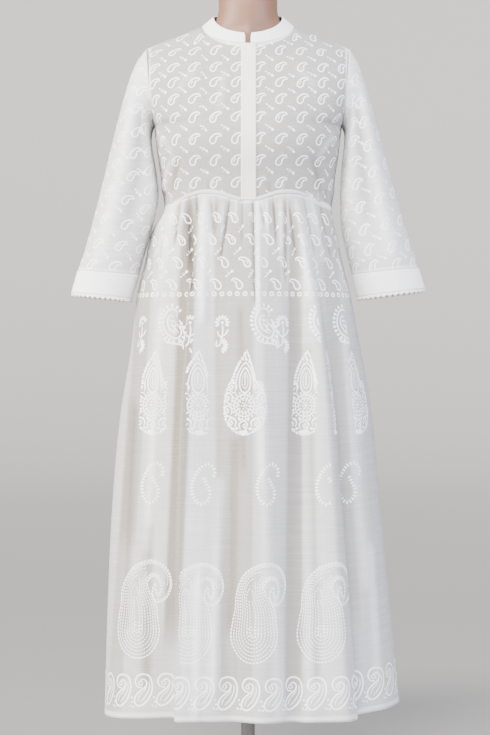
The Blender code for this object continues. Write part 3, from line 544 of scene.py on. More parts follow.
class Panel:
    """A sheet as a grid of points. share runs to the right and up runs upwards, as seen
    from outside. Shapes given in metres are laid on the outer face from a middle."""

    def __init__(self, name, place, wall, closed=False, creases=(), keep=None):
        self.name, self.wall, self.closed = name, wall, closed
        columns, rows = GRIDS[name.removesuffix("_left").removesuffix("_right")]
        self.share, self.up = np.linspace(0, 1, columns + 1), np.linspace(0, 1, rows + 1)
        s, t = np.meshgrid(self.share, self.up)
        self.s, self.t = s, t
        self.inner = place(s, t)
        normals = self.normals_of(self.inner)
        out = np.zeros(s.shape)
        for x0, z0, x1, z1, width, height in creases:
            out += height * MM * self.near_line(x0, z0, x1, z1, width * MM)
        if keep is not None:
            out *= keep(s, t)
        self.inner = self.inner + normals * out[..., None]
        self.normals = self.normals_of(self.inner)
        self.outer = self.inner + self.normals * wall
        # Crease troughs give painted shade and ridges painted light in the layer marks
        self.layers = np.clip(out / CREASE_SHADE_STEP, DEEPEST_CREASE_SHADE, BRIGHTEST_CREASE_LIGHT)
        steps = np.linalg.norm(np.diff(self.outer, axis=1), axis=2)
        self.across = np.concatenate([np.zeros((rows + 1, 1)), np.cumsum(steps, axis=1)], axis=1)
        steps = np.linalg.norm(np.diff(self.outer, axis=0), axis=2)
        self.high = np.concatenate([np.zeros((1, columns + 1)), np.cumsum(steps, axis=0)], axis=0)

    def normals_of(self, points):
        if self.closed:
            wide = np.concatenate([points[:, -2:-1], points, points[:, 1:2]], axis=1)
            along = np.gradient(wide, axis=1)[:, 1:-1]
        else:
            along = np.gradient(points, axis=1)
        normals = np.cross(along, np.gradient(points, axis=0))
        return normals / np.maximum(np.linalg.norm(normals, axis=2, keepdims=True), 1e-12)

    def near_line(self, x0, z0, x1, z1, width):
        """1 on a line across the panel, as seen from in front, falling to 0 beside it."""
        x, z = self.inner[..., 0] - x0, self.inner[..., 2] - z0
        dx, dz = x1 - x0, z1 - z0
        length = math.hypot(dx, dz)
        along = (x * dx + z * dz) / length
        off = (x * dz - z * dx) / length
        soft = min(CREASE_SHARE * length, CREASE_END)
        ends = ease(along / soft) * ease((length - along) / soft)
        return np.exp(-((off / width) ** 2)) * ends

    def nearest_share(self, x, z):
        """Share of the grid point nearest to a place seen from in front."""
        gap = (self.outer[..., 0] - x) ** 2 + (self.outer[..., 2] - z) ** 2
        return self.share[np.argmin(gap) % len(self.share)]

    def row_at(self, up):
        return int(round(up * (len(self.up) - 1)))

    def level(self, share, z):
        """Up at which a place along the panel has a height over the floor."""
        column = int(round(share * (len(self.share) - 1)))
        return float(np.interp(z, self.outer[:, column, 2], self.up))

    def level_lengths(self, z):
        """Lengths along the outer face at one height, at each share."""
        ups = np.array([self.level(share, z) for share in self.share])
        steps = np.linalg.norm(np.diff(self.at(self.share, ups, 0.0), axis=0), axis=1)
        return np.concatenate([[0], np.cumsum(steps)])

    def lay(self, flat, share, up, lift):
        """Points in the row frame of flat points in metres about a place on the panel."""
        row, column = self.row_at(up), int(round(share * (len(self.share) - 1)))
        lengths, heights = self.across[row], self.high[:, column]
        c0, c1 = max(column - NEAR_CELLS, 0), min(column + NEAR_CELLS, len(self.share) - 1)
        r0, r1 = max(row - NEAR_CELLS, 0), min(row + NEAR_CELLS, len(self.up) - 1)
        along = self.outer[row, c1] - self.outer[row, c0]
        climb = self.outer[r1, column] - self.outer[r0, column]
        along, climb = along / np.linalg.norm(along), climb / np.linalg.norm(climb)
        normal = self.normals[row, column]
        across = np.cross(climb if self.closed else (0.0, 0.0, 1.0), normal)
        across /= np.linalg.norm(across)
        wanted = flat[:, :1] * across + flat[:, 1:] * np.cross(normal, across)
        a, b, lean = wanted @ along, wanted @ climb, float(along @ climb)
        u = np.interp(share, self.share, lengths) + (a - lean * b) / (1 - lean * lean)
        v = np.interp(up, self.up, heights) + (b - lean * a) / (1 - lean * lean)
        if self.closed:
            u = u % lengths[-1]
        s = np.interp(u, lengths, self.share, left=np.nan, right=np.nan)
        t = np.interp(v, heights, self.up, left=np.nan, right=np.nan)
        return self.at(s, t, lift)

    def at(self, s, t, lift):
        """Points on the outer face, lifted, by share and up."""
        columns, rows = len(self.share) - 1, len(self.up) - 1
        a, b = np.nan_to_num(s) * columns, np.nan_to_num(t) * rows
        i = np.minimum(a.astype(int), columns - 1)
        j = np.minimum(b.astype(int), rows - 1)
        a, b = (a - i)[:, None], (b - j)[:, None]
        lifted = self.outer + self.normals * lift
        points = (lifted[j, i] * (1 - a) * (1 - b) + lifted[j, i + 1] * a * (1 - b)
                  + lifted[j + 1, i] * (1 - a) * b + lifted[j + 1, i + 1] * a * b)
        points[np.isnan(s) | np.isnan(t)] = np.nan
        return points

    def build(self, material, slot):
        """The sheet with its wall, as a piece that stands for its solid."""
        rows, columns = self.s.shape
        used = columns - 1 if self.closed else columns
        index = np.arange(rows * used).reshape(rows, used)
        if self.closed:
            index = np.concatenate([index, index[:, :1]], axis=1)
        corners = np.stack([index[:-1, :-1], index[:-1, 1:], index[1:, 1:], index[1:, :-1]], axis=-1)
        mesh = bpy.data.meshes.new("cloth_" + self.name)
        points = self.inner[:, :used].reshape(-1, 3)
        mesh.from_pydata(points.tolist(), [], corners.reshape(-1, 4).tolist())
        flat = np.stack([self.across - self.across[:, -1:] / 2, self.high], axis=-1)
        loops = np.stack([flat[:-1, :-1], flat[:-1, 1:], flat[1:, 1:], flat[1:, :-1]], axis=-2)
        mesh.uv_layers.new(name="cloth").data.foreach_set("uv", loops.reshape(-1))
        layers = mesh.attributes.new("layers", "FLOAT", "POINT")
        layers.data.foreach_set("value", self.layers[:, :used].reshape(-1))
        made = add_mesh("cloth_" + self.name, mesh, material)
        wall = made.modifiers.new("Wall", "SOLIDIFY")
        wall.thickness, wall.offset, wall.use_quality_normals = self.wall, 1, True
        apply_modifiers(made)
        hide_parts(self.name)
        return made


def add_mesh(name, mesh, material):
    made = bpy.data.objects.new(name, mesh)
    bpy.context.scene.collection.objects.link(made)
    mesh.materials.append(material)
    mesh.shade_smooth()
    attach(made, "root")
    return made


def choose(made):
    bpy.ops.object.select_all(action="DESELECT")
    made.select_set(True)
    bpy.context.view_layer.objects.active = made


def apply_modifiers(made):
    """Applies all of a piece's modifiers, which leaves it chosen."""
    choose(made)
    for modifier in list(made.modifiers):
        bpy.ops.object.modifier_apply(modifier=modifier.name)


# Flat shapes for print and stitches
CURVE_STEPS = 12
PETAL = ((0, 0), (0.3, -0.38), (0.7, -0.5), (0.95, -0.25), (0.95, 0.25), (0.7, 0.5), (0.3, 0.38))


def smooth(points, step, closed=False):
    """A curve through given points, cut into about equal steps."""
    p = np.array(points, float)
    if closed:
        ring = np.vstack([p[-1:], p, p[:2]])
    else:
        ring = np.vstack([2 * p[0] - p[1], p, 2 * p[-1] - p[-2]])
    t = np.linspace(0, 1, CURVE_STEPS, endpoint=False)[:, None]
    parts = []
    for a, b, c, d in zip(ring, ring[1:], ring[2:], ring[3:]):
        parts.append(0.5 * (2 * b + (c - a) * t + (2 * a - 5 * b + 4 * c - d) * t**2
                            + (3 * b - a - 3 * c + d) * t**3))
    curve = np.vstack(parts + [ring[-2][None]])
    lengths = np.concatenate([[0], np.cumsum(np.linalg.norm(np.diff(curve, axis=0), axis=1))])
    count = max(2, int(round(lengths[-1] / step)))
    marks = np.linspace(0, lengths[-1], count + 1)
    return np.stack([np.interp(marks, lengths, curve[:, k]) for k in (0, 1)], axis=-1)


def sideways(curve):
    """The direction to the left of a flat curve at each of its points."""
    along = np.gradient(curve, axis=0)
    along /= np.maximum(np.linalg.norm(along, axis=1, keepdims=True), 1e-9)
    return np.stack([-along[:, 1], along[:, 0]], axis=-1)


class Stamp:
    """A motif of flat strokes, dots and petals, in millimetres about its middle."""

    def __init__(self):
        self.points, self.faces = [], []

    def shape(self, points):
        first = len(self.points)
        self.points += [tuple(p) for p in points]
        self.faces.append(list(range(first, first + len(points))))

    def line(self, points, width, step=2.2, closed=False, thin=0.35):
        curve = smooth(points, step, closed)
        share = np.linspace(0, 1, len(curve))[:, None]
        size = 1.0 if closed else np.minimum(1, thin + 4 * np.minimum(share, 1 - share))
        side = sideways(curve) * width / 2 * size
        first = len(self.points)
        for left, right in zip(curve + side, curve - side):
            self.points += [tuple(right), tuple(left)]
        for i in range(first, first + 2 * len(curve) - 2, 2):
            self.faces.append([i, i + 2, i + 3, i + 1])
        return self

    def petal(self, x, y, angle, length, width):
        c, s = math.cos(angle), math.sin(angle)
        self.shape([(x + a * length * c - b * width * s, y + a * length * s + b * width * c)
                    for a, b in PETAL])
        return self

    def dot(self, x, y, radius, sides=7):
        turns = [2 * math.pi * i / sides for i in range(sides)]
        self.shape([(x + radius * math.cos(a), y + radius * math.sin(a)) for a in turns])
        return self

    def beads(self, places, radius):
        for x, y in places:
            self.dot(x, y, radius, 6)
        return self

    def ring(self, x, y, radius, width, sides=14):
        turns = np.linspace(0, 2 * np.pi, sides, endpoint=False)
        points = np.stack([x + radius * np.cos(turns), y + radius * np.sin(turns)], axis=-1)
        return self.line(points, width, step=2 * math.pi * radius / sides, closed=True)

    def dots(self, x, y, radius, count, size, turn=0.0):
        for i in range(count):
            a = turn + 2 * math.pi * i / count
            self.dot(x + radius * math.cos(a), y + radius * math.sin(a), size, 6)
        return self

    def flower(self, x, y, inner, length, width, count, start=0.0, sweep=360.0):
        for i in range(count):
            a = math.radians(start + sweep * i / (count if sweep == 360.0 else count - 1))
            self.petal(x + inner * math.cos(a), y + inner * math.sin(a), a, length, width)
        return self

    def dashes(self, curve, length, gap, width):
        """Short strokes along a curve of close points."""
        marks = np.concatenate([[0], np.cumsum(np.linalg.norm(np.diff(curve, axis=0), axis=1))])
        count = int(marks[-1] // (length + gap))
        pitch = marks[-1] / max(count, 1)
        for i in range(count):
            ends = [i * pitch, i * pitch + pitch * length / (length + gap)]
            p = np.stack([np.interp(ends, marks, curve[:, k]) for k in (0, 1)], axis=-1)
            along = p[1] - p[0]
            side = np.array([-along[1], along[0]]) / max(np.linalg.norm(along), 1e-9) * width / 2
            self.shape([p[0] - side, p[1] - side, p[1] + side, p[0] + side])
        return self

    def petals(self, points, pitch, length, width, closed=False, reach=0.0):
        """Petals set square to a curve, pointing to its right-hand side."""
        curve = smooth(points, pitch, closed)
        if closed:
            curve = curve[:-1]
        for point, side in zip(curve, -sideways(curve)):
            start = point + side * reach
            self.petal(start[0], start[1], math.atan2(side[1], side[0]), length, width)
        return self


def small_paisley(filled):
    stamp = Stamp().line([
        (10.5, 3.6), (10.2, 6.8), (6.0, 8.8), (0.0, 7.6), (-5.6, 3.6), (-9.0, -1.8), (-8.6, -7.0),
        (-4.4, -9.4), (-0.4, -7.8), (1.8, -3.4), (2.4, 1.0), (5.4, 4.0), (8.6, 4.2),
    ], 2.6, thin=0.7)
    if filled:
        stamp.line([(-1.0, 3.0), (-4.4, -1.0), (-4.8, -5.0)], 1.7)
    return stamp


def sprig():
    stamp = Stamp().petal(0.4, 0.0, -0.66, 7.4, 5.4).line([(-5.4, 3.8), (-2.4, 2.6), (1.6, -0.6)], 1.7)
    return stamp.dot(-7.2, 5.0, 1.8, 6).dot(-3.4, -0.6, 1.3, 6)


def ring_dot():
    return Stamp().ring(0, 0, 3.2, 2.7, 10)


def petal_paisley():
    """A leaning paisley edged with petals, on a short stem with a leaf."""
    body = [(8, 14), (9, 22), (2, 29), (-8, 26), (-15, 14), (-16, 0), (-11, -12), (-2, -20), (8, -23),
            (15, -17), (16, -8), (11, -1), (5, 5), (3, 10)]
    stamp = Stamp().line(body, 3.0)
    stamp.petals(body[1:12], 6.4, 7.8, 5.0, reach=2.2)
    stamp.line([(-4, 20), (-9, 8), (-6, -4), (2, -12), (9, -15)], 2.8)
    stamp.line([(0, 2), (4, -5), (9, -10), (12, -13)], 2.4)
    stamp.beads(((-1, 16), (-3, 9), (0, 8), (-1, 1), (5, -1), (4, -9)), 2.0)
    stamp.line([(13, -22), (18, -30), (21, -42)], 2.8)
    stamp.line([(-16, -22), (-10, -29), (2, -32), (12, -33), (19, -36)], 3.2)
    stamp.line([(20, -32), (22, -18), (19, -6), (17, 4)], 2.2)
    return stamp.petal(16, 4, 2.2, 7, 3.4).petal(20, -8, 1.2, 7, 3.4).petal(18, -4, 2.6, 6, 3.0)


def flower_sprig():
    stamp = Stamp().flower(0, 18, 5.2, 9.0, 4.5, 9, -24, 228)
    stamp.dot(0, 18, 2.8, 8)
    stamp.line([(0, 15), (1, 4), (-1, -8), (-4, -22)], 2.8)
    stamp.line([(0, -6), (7, -1), (12, 7)], 2.8).line([(-1, -8), (-7, -3), (-9, 4)], 2.6)
    stamp.line([(-2, -17), (-10, -24), (-10, -12)], 2.4)
    return stamp.flower(-2, -22, 3.6, 11.0, 4.4, 6, -68, 130)


def ornate_cone():
    """A tall boteh: a round flower and an oval above it, edged with curls and beads."""
    edge = [(2, 76), (-6, 66), (-14, 54), (-21, 38), (-28, 22), (-36, 6), (-40, -16), (-39, -40),
            (-29, -58), (0, -72), (29, -60), (39, -42), (41, -18), (38, 0), (31, 13), (20, 24),
            (16, 40), (11, 56), (6, 70)]
    stamp = Stamp()
    for i, (x, y) in enumerate(smooth(edge, 5.4, closed=True)[:-1]):
        stamp.dot(x * 0.96, y * 0.98, 2.7 if i % 2 else 2.0, 6)
    for x, y in ((-24, 12), (27, 14), (-31, -8), (32, -6), (-31, -30), (31, -30), (-22, -50),
                 (22, -50), (0, -54)):
        way = 1 if x >= 0 else -1
        stamp.line([(x - 6 * way, y - 8), (x - 8 * way, y + 2), (x, y + 8), (x + 7 * way, y + 1),
                    (x + 2 * way, y - 5), (x - 3 * way, y)], 3.0)
        stamp.line([(x - 8 * way, y - 11), (x, y - 10), (x + 8 * way, y - 5)], 2.4)
        stamp.dot(x + way, y + 1, 2.4, 6)
    for radius, count, size in ((15.0, 15, 1.9), (10.0, 10, 1.8), (5.4, 6, 1.6)):
        stamp.dots(0, -20, radius, count, size, radius)
    stamp.ring(0, -20, 19.0, 2.6, 26).ring(0, -20, 12.6, 1.4, 18).dot(0, -20, 2.6)
    oval = [(0, 46), (-8, 36), (-11, 22), (-8, 7), (0, 2), (8, 7), (11, 22), (8, 36)]
    stamp.line(oval, 2.8, closed=True)
    within = smooth([(x * 0.55, 24 + (y - 24) * 0.64) for x, y in oval], 1.5, True)
    stamp.dashes(within, 2.2, 1.4, 2.4)
    stamp.line([(0, 36), (0, 14)], 2.4)
    arch = [(-18, 2), (-17, 22), (-12, 40), (-3, 53), (3, 53), (12, 40), (16, 22), (17, 2)]
    stamp.line(arch, 2.6)
    stamp.flower(0, -20, 20.6, 4.6, 3.6, 22)
    stamp.beads(((-18, -44), (-8, -44), (8, -44), (18, -44), (-12, -60), (12, -60), (-34, -42),
                 (34, -42)), 2.8)
    stamp.petals([(6, 54), (-5, 57), (-14, 44), (-18, 28), (-20, 12)], 5.4, 6.4, 4.0)
    stamp.petals([(20, 12), (16, 26), (12, 42), (6, 56)], 5.4, 5.6, 3.6)
    stamp.flower(0, -62, 2.0, 8.0, 4.0, 5, -150, 120)
    return stamp.line([(3, 77), (-1, 68), (1, 58)], 2.8).line([(8, 66), (3, 72), (3, 78)], 2.4)


def petal_comma():
    """An open paisley drawn with short petals."""
    path = [(17, 15), (18, 25), (9, 33), (-4, 27), (-14, 12), (-19, -4), (-16, -22), (-5, -33),
            (6, -26), (9, -13), (4, -1), (-1, 9)]
    return Stamp().petals(path, 5.6, 8.0, 4.0, reach=-2.4)


def great_paisley():
    """A large paisley of nested dashed lines, its tip curling over and in."""
    spine = smooth([(-13, -36), (-13, 0), (-18, 30), (-11, 56), (12, 71), (34, 64), (42, 43), (36, 24),
                    (25, 19), (20, 31), (22, 45)], 2.0)
    share, side = np.linspace(0, 1, len(spine))[:, None], sideways(spine)
    radius = np.interp(share, (0, 0.16, 0.30, 0.42, 0.52, 0.62, 0.72, 0.82, 0.90, 1.0),
                       (43, 38, 28, 20, 15, 12.5, 10.5, 8, 6.5, 4.5))
    under = np.linspace(np.pi, 2 * np.pi, 30)
    stamp = Stamp()
    for ring, stop in enumerate((1.0, 0.97, 0.88, 0.74, 0.50, 0.42, 0.34, 0.26)):
        kept = share[:, 0] <= stop
        reach = radius[kept] * (1 - 0.125 * ring) * np.sqrt(1 - 0.96 * (share[kept] / stop) ** 10)
        left, right = (spine[kept] + way * side[kept] * reach for way in (1, -1))
        cap = spine[0] + reach[0] * np.stack([np.cos(under), 1.18 * np.sin(under)], axis=-1)
        line = np.concatenate([left[::-1], cap, right])
        stamp.dashes(line, 3.4 if ring else 4.4, 1.8, 1.6 if ring else 2.4)
    for away, count in ((4.5, 5), (9.5, 9)):
        stamp.dots(-13, -33, away, count, 1.5, away)
    return stamp


def border_comma():
    """The comma of the hem border, with a ring in its head and beads beside its foot."""
    stamp = Stamp().line([
        (-2, 5), (-11, 7), (-15, 16), (-10, 26), (1, 29), (12, 25), (17, 13), (16, -1), (9, -15),
        (-2, -25), (-12, -26), (-17, -19), (-14, -9), (-6, -1), (3, 6), (6, 14), (1, 20), (-5, 18),
    ], 3.1, thin=0.6)
    stamp.ring(-5, 13, 3.4, 2.0, 10)
    stamp.line([(11, 17), (11, 4), (3, -11), (-6, -20)], 1.9)
    stamp.line([(-11, -19), (-7, -9), (2, 0), (7, 7)], 1.7)
    return stamp.beads(((17, -25), (22, -18), (23, -26), (20, -10)), 2.0)


# Heights of the small paisleys' rows, in the photograph's pixels
BODICE_PRINT = (204, 193, 182, 171, 160, 149.5, 139, 128, 117, 107.5, 98, 89.5, 81, 73, 65, 56,
                47.5, 39, 31)
SKIRT_PRINT = (284, 273, 262, 250.5, 239, 228, 217)
BEADS_PY, BEAD_PITCH = 294, 0.0135
# Where rows start from the opening, the side and the skirt's edge, and the border's height
OPENING_START, SIDE_START, SKIRT_START, SLEEVE_START = 0.020, 0.014, 0.012, 0.35
BORDER_RISE = 0.034
# Shares and ups within which small print is laid, how far and how fast its turn sways in
# degrees, and the further turn of a mirrored sprig
PRINT_SHARES, PRINT_UPS = (0.004, 0.996), (0.01, 0.99)
SWAY, SWAY_RATE, SPRIG_TURN = 5, 2.3, 190
WHOLE = (-99, 99)
# Rows of single motifs: height in pixels and pitch behind, then each place in front in
# pixels and how much of the motif lies outside a fold there, in millimetres
MOTIF_ROWS = (
    (flower_sprig, 333, 0.075, ((140, -15, 13), (190, -20, 9), (222, *WHOLE), (283, *WHOLE))),
    (petal_paisley, 325, 0.15, ((172, *WHOLE), (265, *WHOLE), (322, -30, -6), (346, -30, 8))),
    (ornate_cone, 394, 0.105, ((151, -27, 29), (199, -23, 20), (245, *WHOLE), (306, -26, 24),
                               (331, -4, 18), (358, -14, 99))),
    (petal_comma, 484, 0.11, ((152, *WHOLE), (203, *WHOLE), (268, *WHOLE), (329, -99, 7),
                              (350, *WHOLE))),
    (great_paisley, 611, 0.125, ((142, *WHOLE), (197, -30, 99), (260, *WHOLE), (329, *WHOLE))),
)


# Every so many grid points tell which way the print faces
FACING_STEP = 4


class Print:
    """All the print or stitches of one panel, gathered into one mesh."""

    def __init__(self, panel, lift):
        self.panel, self.lift = panel, lift
        self.points, self.faces = [], []

    def put(self, stamp, share, up, turn=0.0, mirror=1, shown=WHOLE):
        """Lays a motif about a place. shown is how much of it lies outside a fold, in mm."""
        flat = np.array(stamp.points) * (MM * mirror, MM)
        hidden = (flat[:, 0] < shown[0] * MM) | (flat[:, 0] > shown[1] * MM)
        a = math.radians(turn)
        flat = flat @ np.array([[math.cos(a), math.sin(a)], [-math.sin(a), math.cos(a)]])
        laid = self.panel.lay(flat, share, up, self.lift)
        first = len(self.points)
        self.points += laid.tolist()
        for face in stamp.faces:
            if not np.isnan(laid[face]).any() and not hidden[face].any():
                self.faces.append([first + i for i in face])

    def run(self, s, t, width):
        """Stitches along a line of close shares and ups."""
        line = self.panel.at(s, t, self.lift)
        marks = np.concatenate([[0], np.cumsum(np.linalg.norm(np.diff(line, axis=0), axis=1))])
        pitch = STITCH_LENGTH + STITCH_GAP
        starts = (np.arange(int(marks[-1] // pitch)) + 0.2) * pitch
        heads, tails = (np.stack([np.interp(m, marks, line[:, k]) for k in range(3)], -1)
                        for m in (starts, starts + STITCH_LENGTH))
        share, up = np.interp(starts, marks, s), np.interp(starts, marks, t)
        away = self.panel.at(share, up, self.lift + MM) - self.panel.at(share, up, self.lift)
        side = np.cross(tails - heads, away)
        side *= width / 2 / np.maximum(np.linalg.norm(side, axis=1, keepdims=True), 1e-12)
        for a, b, w in zip(heads, tails, side):
            first = len(self.points)
            self.points += [list(p) for p in (a + w, b + w, b - w, a - w)]
            self.faces.append([first, first + 1, first + 2, first + 3])

    def build(self, name, material, slot):
        used = sorted({i for face in self.faces for i in face})
        place = {old: new for new, old in enumerate(used)}
        mesh = bpy.data.meshes.new(name)
        faces = [[place[i] for i in face] for face in self.faces]
        mesh.from_pydata([self.points[i] for i in used], [], faces)
        shape = bmesh.new()
        shape.from_mesh(mesh)
        ground = self.panel.outer[::FACING_STEP, ::FACING_STEP].reshape(-1, 3)
        outward = self.panel.normals[::FACING_STEP, ::FACING_STEP].reshape(-1, 3)
        for face in shape.faces:
            gap = np.linalg.norm(ground - np.array(face.calc_center_median()), axis=1)
            if face.normal.dot(Vector(outward[np.argmin(gap)])) < 0:
                face.normal_flip()
        shape.to_mesh(mesh)
        shape.free()
        return add_mesh(name, mesh, material)


# Materials
class Shader:
    """A tree of shader nodes. Inputs are named sockets, given other sockets or values."""

    def __init__(self, tree):
        self.tree = tree

    def node(self, kind, inputs=(), output=None, **settings):
        made = self.tree.nodes.new(kind)
        for key, value in settings.items():
            setattr(made, key, value)
        for key, value in dict(inputs).items():
            socket = made.inputs[key]
            if isinstance(value, bpy.types.NodeSocket):
                self.tree.links.new(value, socket)
            else:
                socket.default_value = (*value, 1) if socket.type == "RGBA" else value
        return made if output is None else made.outputs[output]

    def place(self):
        return self.node("ShaderNodeTexCoord", output="Object")

    def flat(self):
        """The place on the panel laid flat, in metres."""
        return self.node("ShaderNodeUVMap", output="UV", uv_map="cloth")

    def weave(self, flat):
        """The threads' unevenness and their height at a flat place."""
        group = self.node("ShaderNodeGroup", {}, node_tree=weave_group())
        self.tree.links.new(flat, group.inputs["Flat"])
        return group.outputs["Slub"], group.outputs["Height"]

    def noise(self, place, scale, detail=2.0, stretch=None):
        if stretch:
            place = self.node("ShaderNodeMapping", {"Vector": place, "Scale": stretch}, "Vector")
        inputs = {"Vector": place, "Scale": scale, "Detail": detail}
        return self.node("ShaderNodeTexNoise", inputs, "Fac")

    def waves(self, place, axis, scale, distortion=0.0):
        inputs = {"Vector": place, "Scale": scale, "Distortion": distortion}
        return self.node("ShaderNodeTexWave", inputs, "Fac", wave_type="BANDS", bands_direction=axis)

    def stripes(self, place, axis, pitch):
        """Stripes at a pitch in metres: at scale 1, 20 of them fill two pi."""
        return self.waves(place, axis, 1 / (pitch * 20 / (2 * math.pi)))

    def work(self, kind, a, b=0.0, clamp=False):
        return self.node("ShaderNodeMath", {0: a, 1: b}, 0, operation=kind, use_clamp=clamp)

    def between(self, value, low, high, from_low=0.0, from_high=1.0):
        """A value moved from one range to another."""
        inputs = {"Value": value, "From Min": from_low, "From Max": from_high,
                  "To Min": low, "To Max": high}
        return self.node("ShaderNodeMapRange", inputs, "Result")

    def blend(self, share, a, b):
        return self.node("ShaderNodeMix", {0: share, 6: a, 7: b}, 2, data_type="RGBA")


class Finish(Shader):
    """A material and its main shader, whose varying inputs are given all at once."""

    def __init__(self, name, roughness, metallic=0.0):
        self.made = bpy.data.materials.new(name)
        self.made.use_nodes = True
        super().__init__(self.made.node_tree)
        self.surface = self.tree.nodes["Principled BSDF"].inputs
        self.fix("Roughness", roughness)
        self.fix("Metallic", metallic)

    def fix(self, name, value):
        self.surface[name].default_value = value

    def done(self, colour, roughness=None, height=None, strength=0.0, distance=0.0, alpha=None):
        """The material, with its height as a bump of a strength and a distance in metres."""
        normal = None
        if height:
            inputs = {"Height": height, "Strength": strength, "Distance": distance}
            normal = self.node("ShaderNodeBump", inputs, "Normal")
        for name, value in (("Base Color", colour), ("Roughness", roughness), ("Alpha", alpha),
                            ("Normal", normal)):
            if value:
                self.tree.links.new(value, self.surface[name])
        return self.made


def weave_group():
    """Uneven threads both ways and a fine plain weave, on a flat place in metres."""
    group = bpy.data.node_groups.get("slub_weave")
    if group:
        return group
    group = bpy.data.node_groups.new("slub_weave", "ShaderNodeTree")
    for name, way, kind in (("Flat", "INPUT", "Vector"), ("Slub", "OUTPUT", "Float"),
                            ("Height", "OUTPUT", "Float")):
        group.interface.new_socket(name, in_out=way, socket_type="NodeSocket" + kind)
    made = Shader(group)
    flat = made.node("NodeGroupInput", output="Flat")
    slub = 0.0
    # Weft, warp and broad weft: stretch, detail and share
    for stretch, detail, share in (((14, 620, 1), 3.0, 0.5), ((620, 10, 1), 3.0, 0.28),
                                   ((5, 210, 1), 2.0, 0.22)):
        threads = made.noise(flat, 1.0, detail, stretch)
        slub = made.work("ADD", slub, made.work("MULTIPLY", threads, share))
    fine = made.work("MULTIPLY", *(made.waves(flat, axis, 320.0, 0.6) for axis in "XY"))
    height = made.work("ADD", slub, made.work("MULTIPLY", fine, 0.35))
    made.node("NodeGroupOutput", {"Slub": slub, "Height": height})
    return group


def sheer_cotton():
    """White slub cotton, thin enough that what lies close behind it tints it. Its marks paint shade and
    the form's tint into creases and valleys, and light onto ridges.
    """
    colours = bpy.context.scene.dress_colours
    made = Finish("white_slub_cotton", 0.86)
    slub, height = made.weave(made.flat())
    layers = made.node("ShaderNodeAttribute", output="Fac", attribute_name="layers")
    light = made.work("ADD", made.between(slub, 0.0, 0.5, 0.32, 0.68), made.work("MULTIPLY", layers, 0.6))
    cloth = made.blend(light, colours.cloth, colours.cloth_lit)
    # Painted shade mixed with the form's tint, stronger where the marks fall below one layer
    shade_and_form_share = made.between(layers, 0.0, 0.75, 0.0, -1.0)
    sheer = made.between(slub, *ALPHA_RANGE, 0.30, 0.70)
    solid = made.work("ADD", sheer, made.work("MULTIPLY", layers, 0.30), clamp=True)
    made.fix("Sheen Weight", 0.12)
    made.fix("Sheen Roughness", 0.6)
    rough = made.between(slub, 0.90, 0.78)
    return made.done(made.blend(shade_and_form_share, cloth, colours.shade_and_form_tint), rough, height, 0.5, 0.0005, solid)


def plain_cotton():
    """Double cloth of the collar and cuffs, closer and whiter."""
    made = Finish("white_plain_cotton", 0.84)
    slub, height = made.weave(made.flat())
    share = made.between(slub, 0.0, 1.0, 0.25, 0.75)
    made.fix("Sheen Weight", 0.1)
    rough = made.between(slub, 0.88, 0.76)
    return made.done(made.blend(share, *TINTS["plain_cotton"]), rough, height, 0.45, 0.0005)


def pigment():
    """The thick white print, a little broken where the threads show through."""
    white = bpy.context.scene.dress_colours.print_white
    made = Finish("white_print", 0.7)
    place = made.place()
    grain, worn = made.noise(place, 900.0, 3.0), made.noise(place, 160.0)
    share = made.between(made.work("MULTIPLY", grain, worn), 0.0, 1.0, 0.15, 0.40)
    colour = made.blend(share, tuple(0.93 * c for c in white), white)
    return made.done(colour, made.between(grain, 0.78, 0.62), grain, 0.4, 0.0003)


def cream_tape():
    """The placket's woven tape, with pin-stripes and a line of small diamonds."""
    made = Finish("cream_tape", 0.8)
    flat = made.flat()
    slub, _ = made.weave(flat)
    across, along, _ = made.node("ShaderNodeSeparateXYZ", {0: flat}).outputs
    lines = made.between(made.stripes(flat, "X", TAPE_STRIPE), 0.0, 1.0, 0.55, 0.95)
    beads = made.between(made.stripes(flat, "Y", TAPE_BEAD), 0.4, 1.0)
    ripple = made.work("PINGPONG", along, TAPE_DIAMOND)
    gap = made.work("ABSOLUTE", made.work("SUBTRACT", made.work("ABSOLUTE", across), ripple))
    diamond = made.between(gap, 1.0, 0.0, 0.0003, 0.0009)
    shape = made.work("MAXIMUM", made.work("MULTIPLY", lines, beads), diamond)
    share = made.work("MULTIPLY", shape, made.between(slub, 0.7, 1.0))
    rough = made.between(slub, 0.86, 0.72)
    return made.done(made.blend(share, *TINTS["tape"]), rough, shape, 0.6, 0.0006)


def white_thread():
    made = Finish("white_thread", 0.6)
    twist = made.noise(made.place(), 1500.0)
    return made.done(made.blend(twist, *TINTS["thread"]), None, twist, 0.4, 0.0003)


def lace_thread():
    made = Finish("white_lace", 0.75)
    knots = made.node("ShaderNodeTexVoronoi", {"Vector": made.flat(), "Scale": 1200.0}, "Distance")
    share = made.between(knots, 1.0, 0.3, 0.1, 0.7)
    return made.done(made.blend(share, *TINTS["lace"]), None, share, 0.7, 0.0005)


def form_shell():
    """The moulded shell of the dress form, skin-coloured with a soft sheen."""
    skin = bpy.context.scene.dress_colours.form
    made = Finish("form_shell", 0.5)
    place = made.place()
    cloud, grain = made.noise(place, 7.0, 3.0), made.noise(place, 420.0)
    colour = made.blend(cloud, tuple(0.93 * c for c in skin), skin)
    return made.done(colour, made.between(grain, 0.44, 0.58), grain, 0.08, 0.0004)


def brushed_steel():
    made = Finish("stand_metal", 0.36, 1.0)
    place = made.place()
    scratch, wear = made.noise(place, 1.0, 3.0, (900, 900, 12)), made.noise(place, 30.0, 3.0)
    colour = made.blend(wear, *TINTS["steel"])
    return made.done(colour, made.between(scratch, 0.26, 0.44), scratch, 0.12, 0.0002)


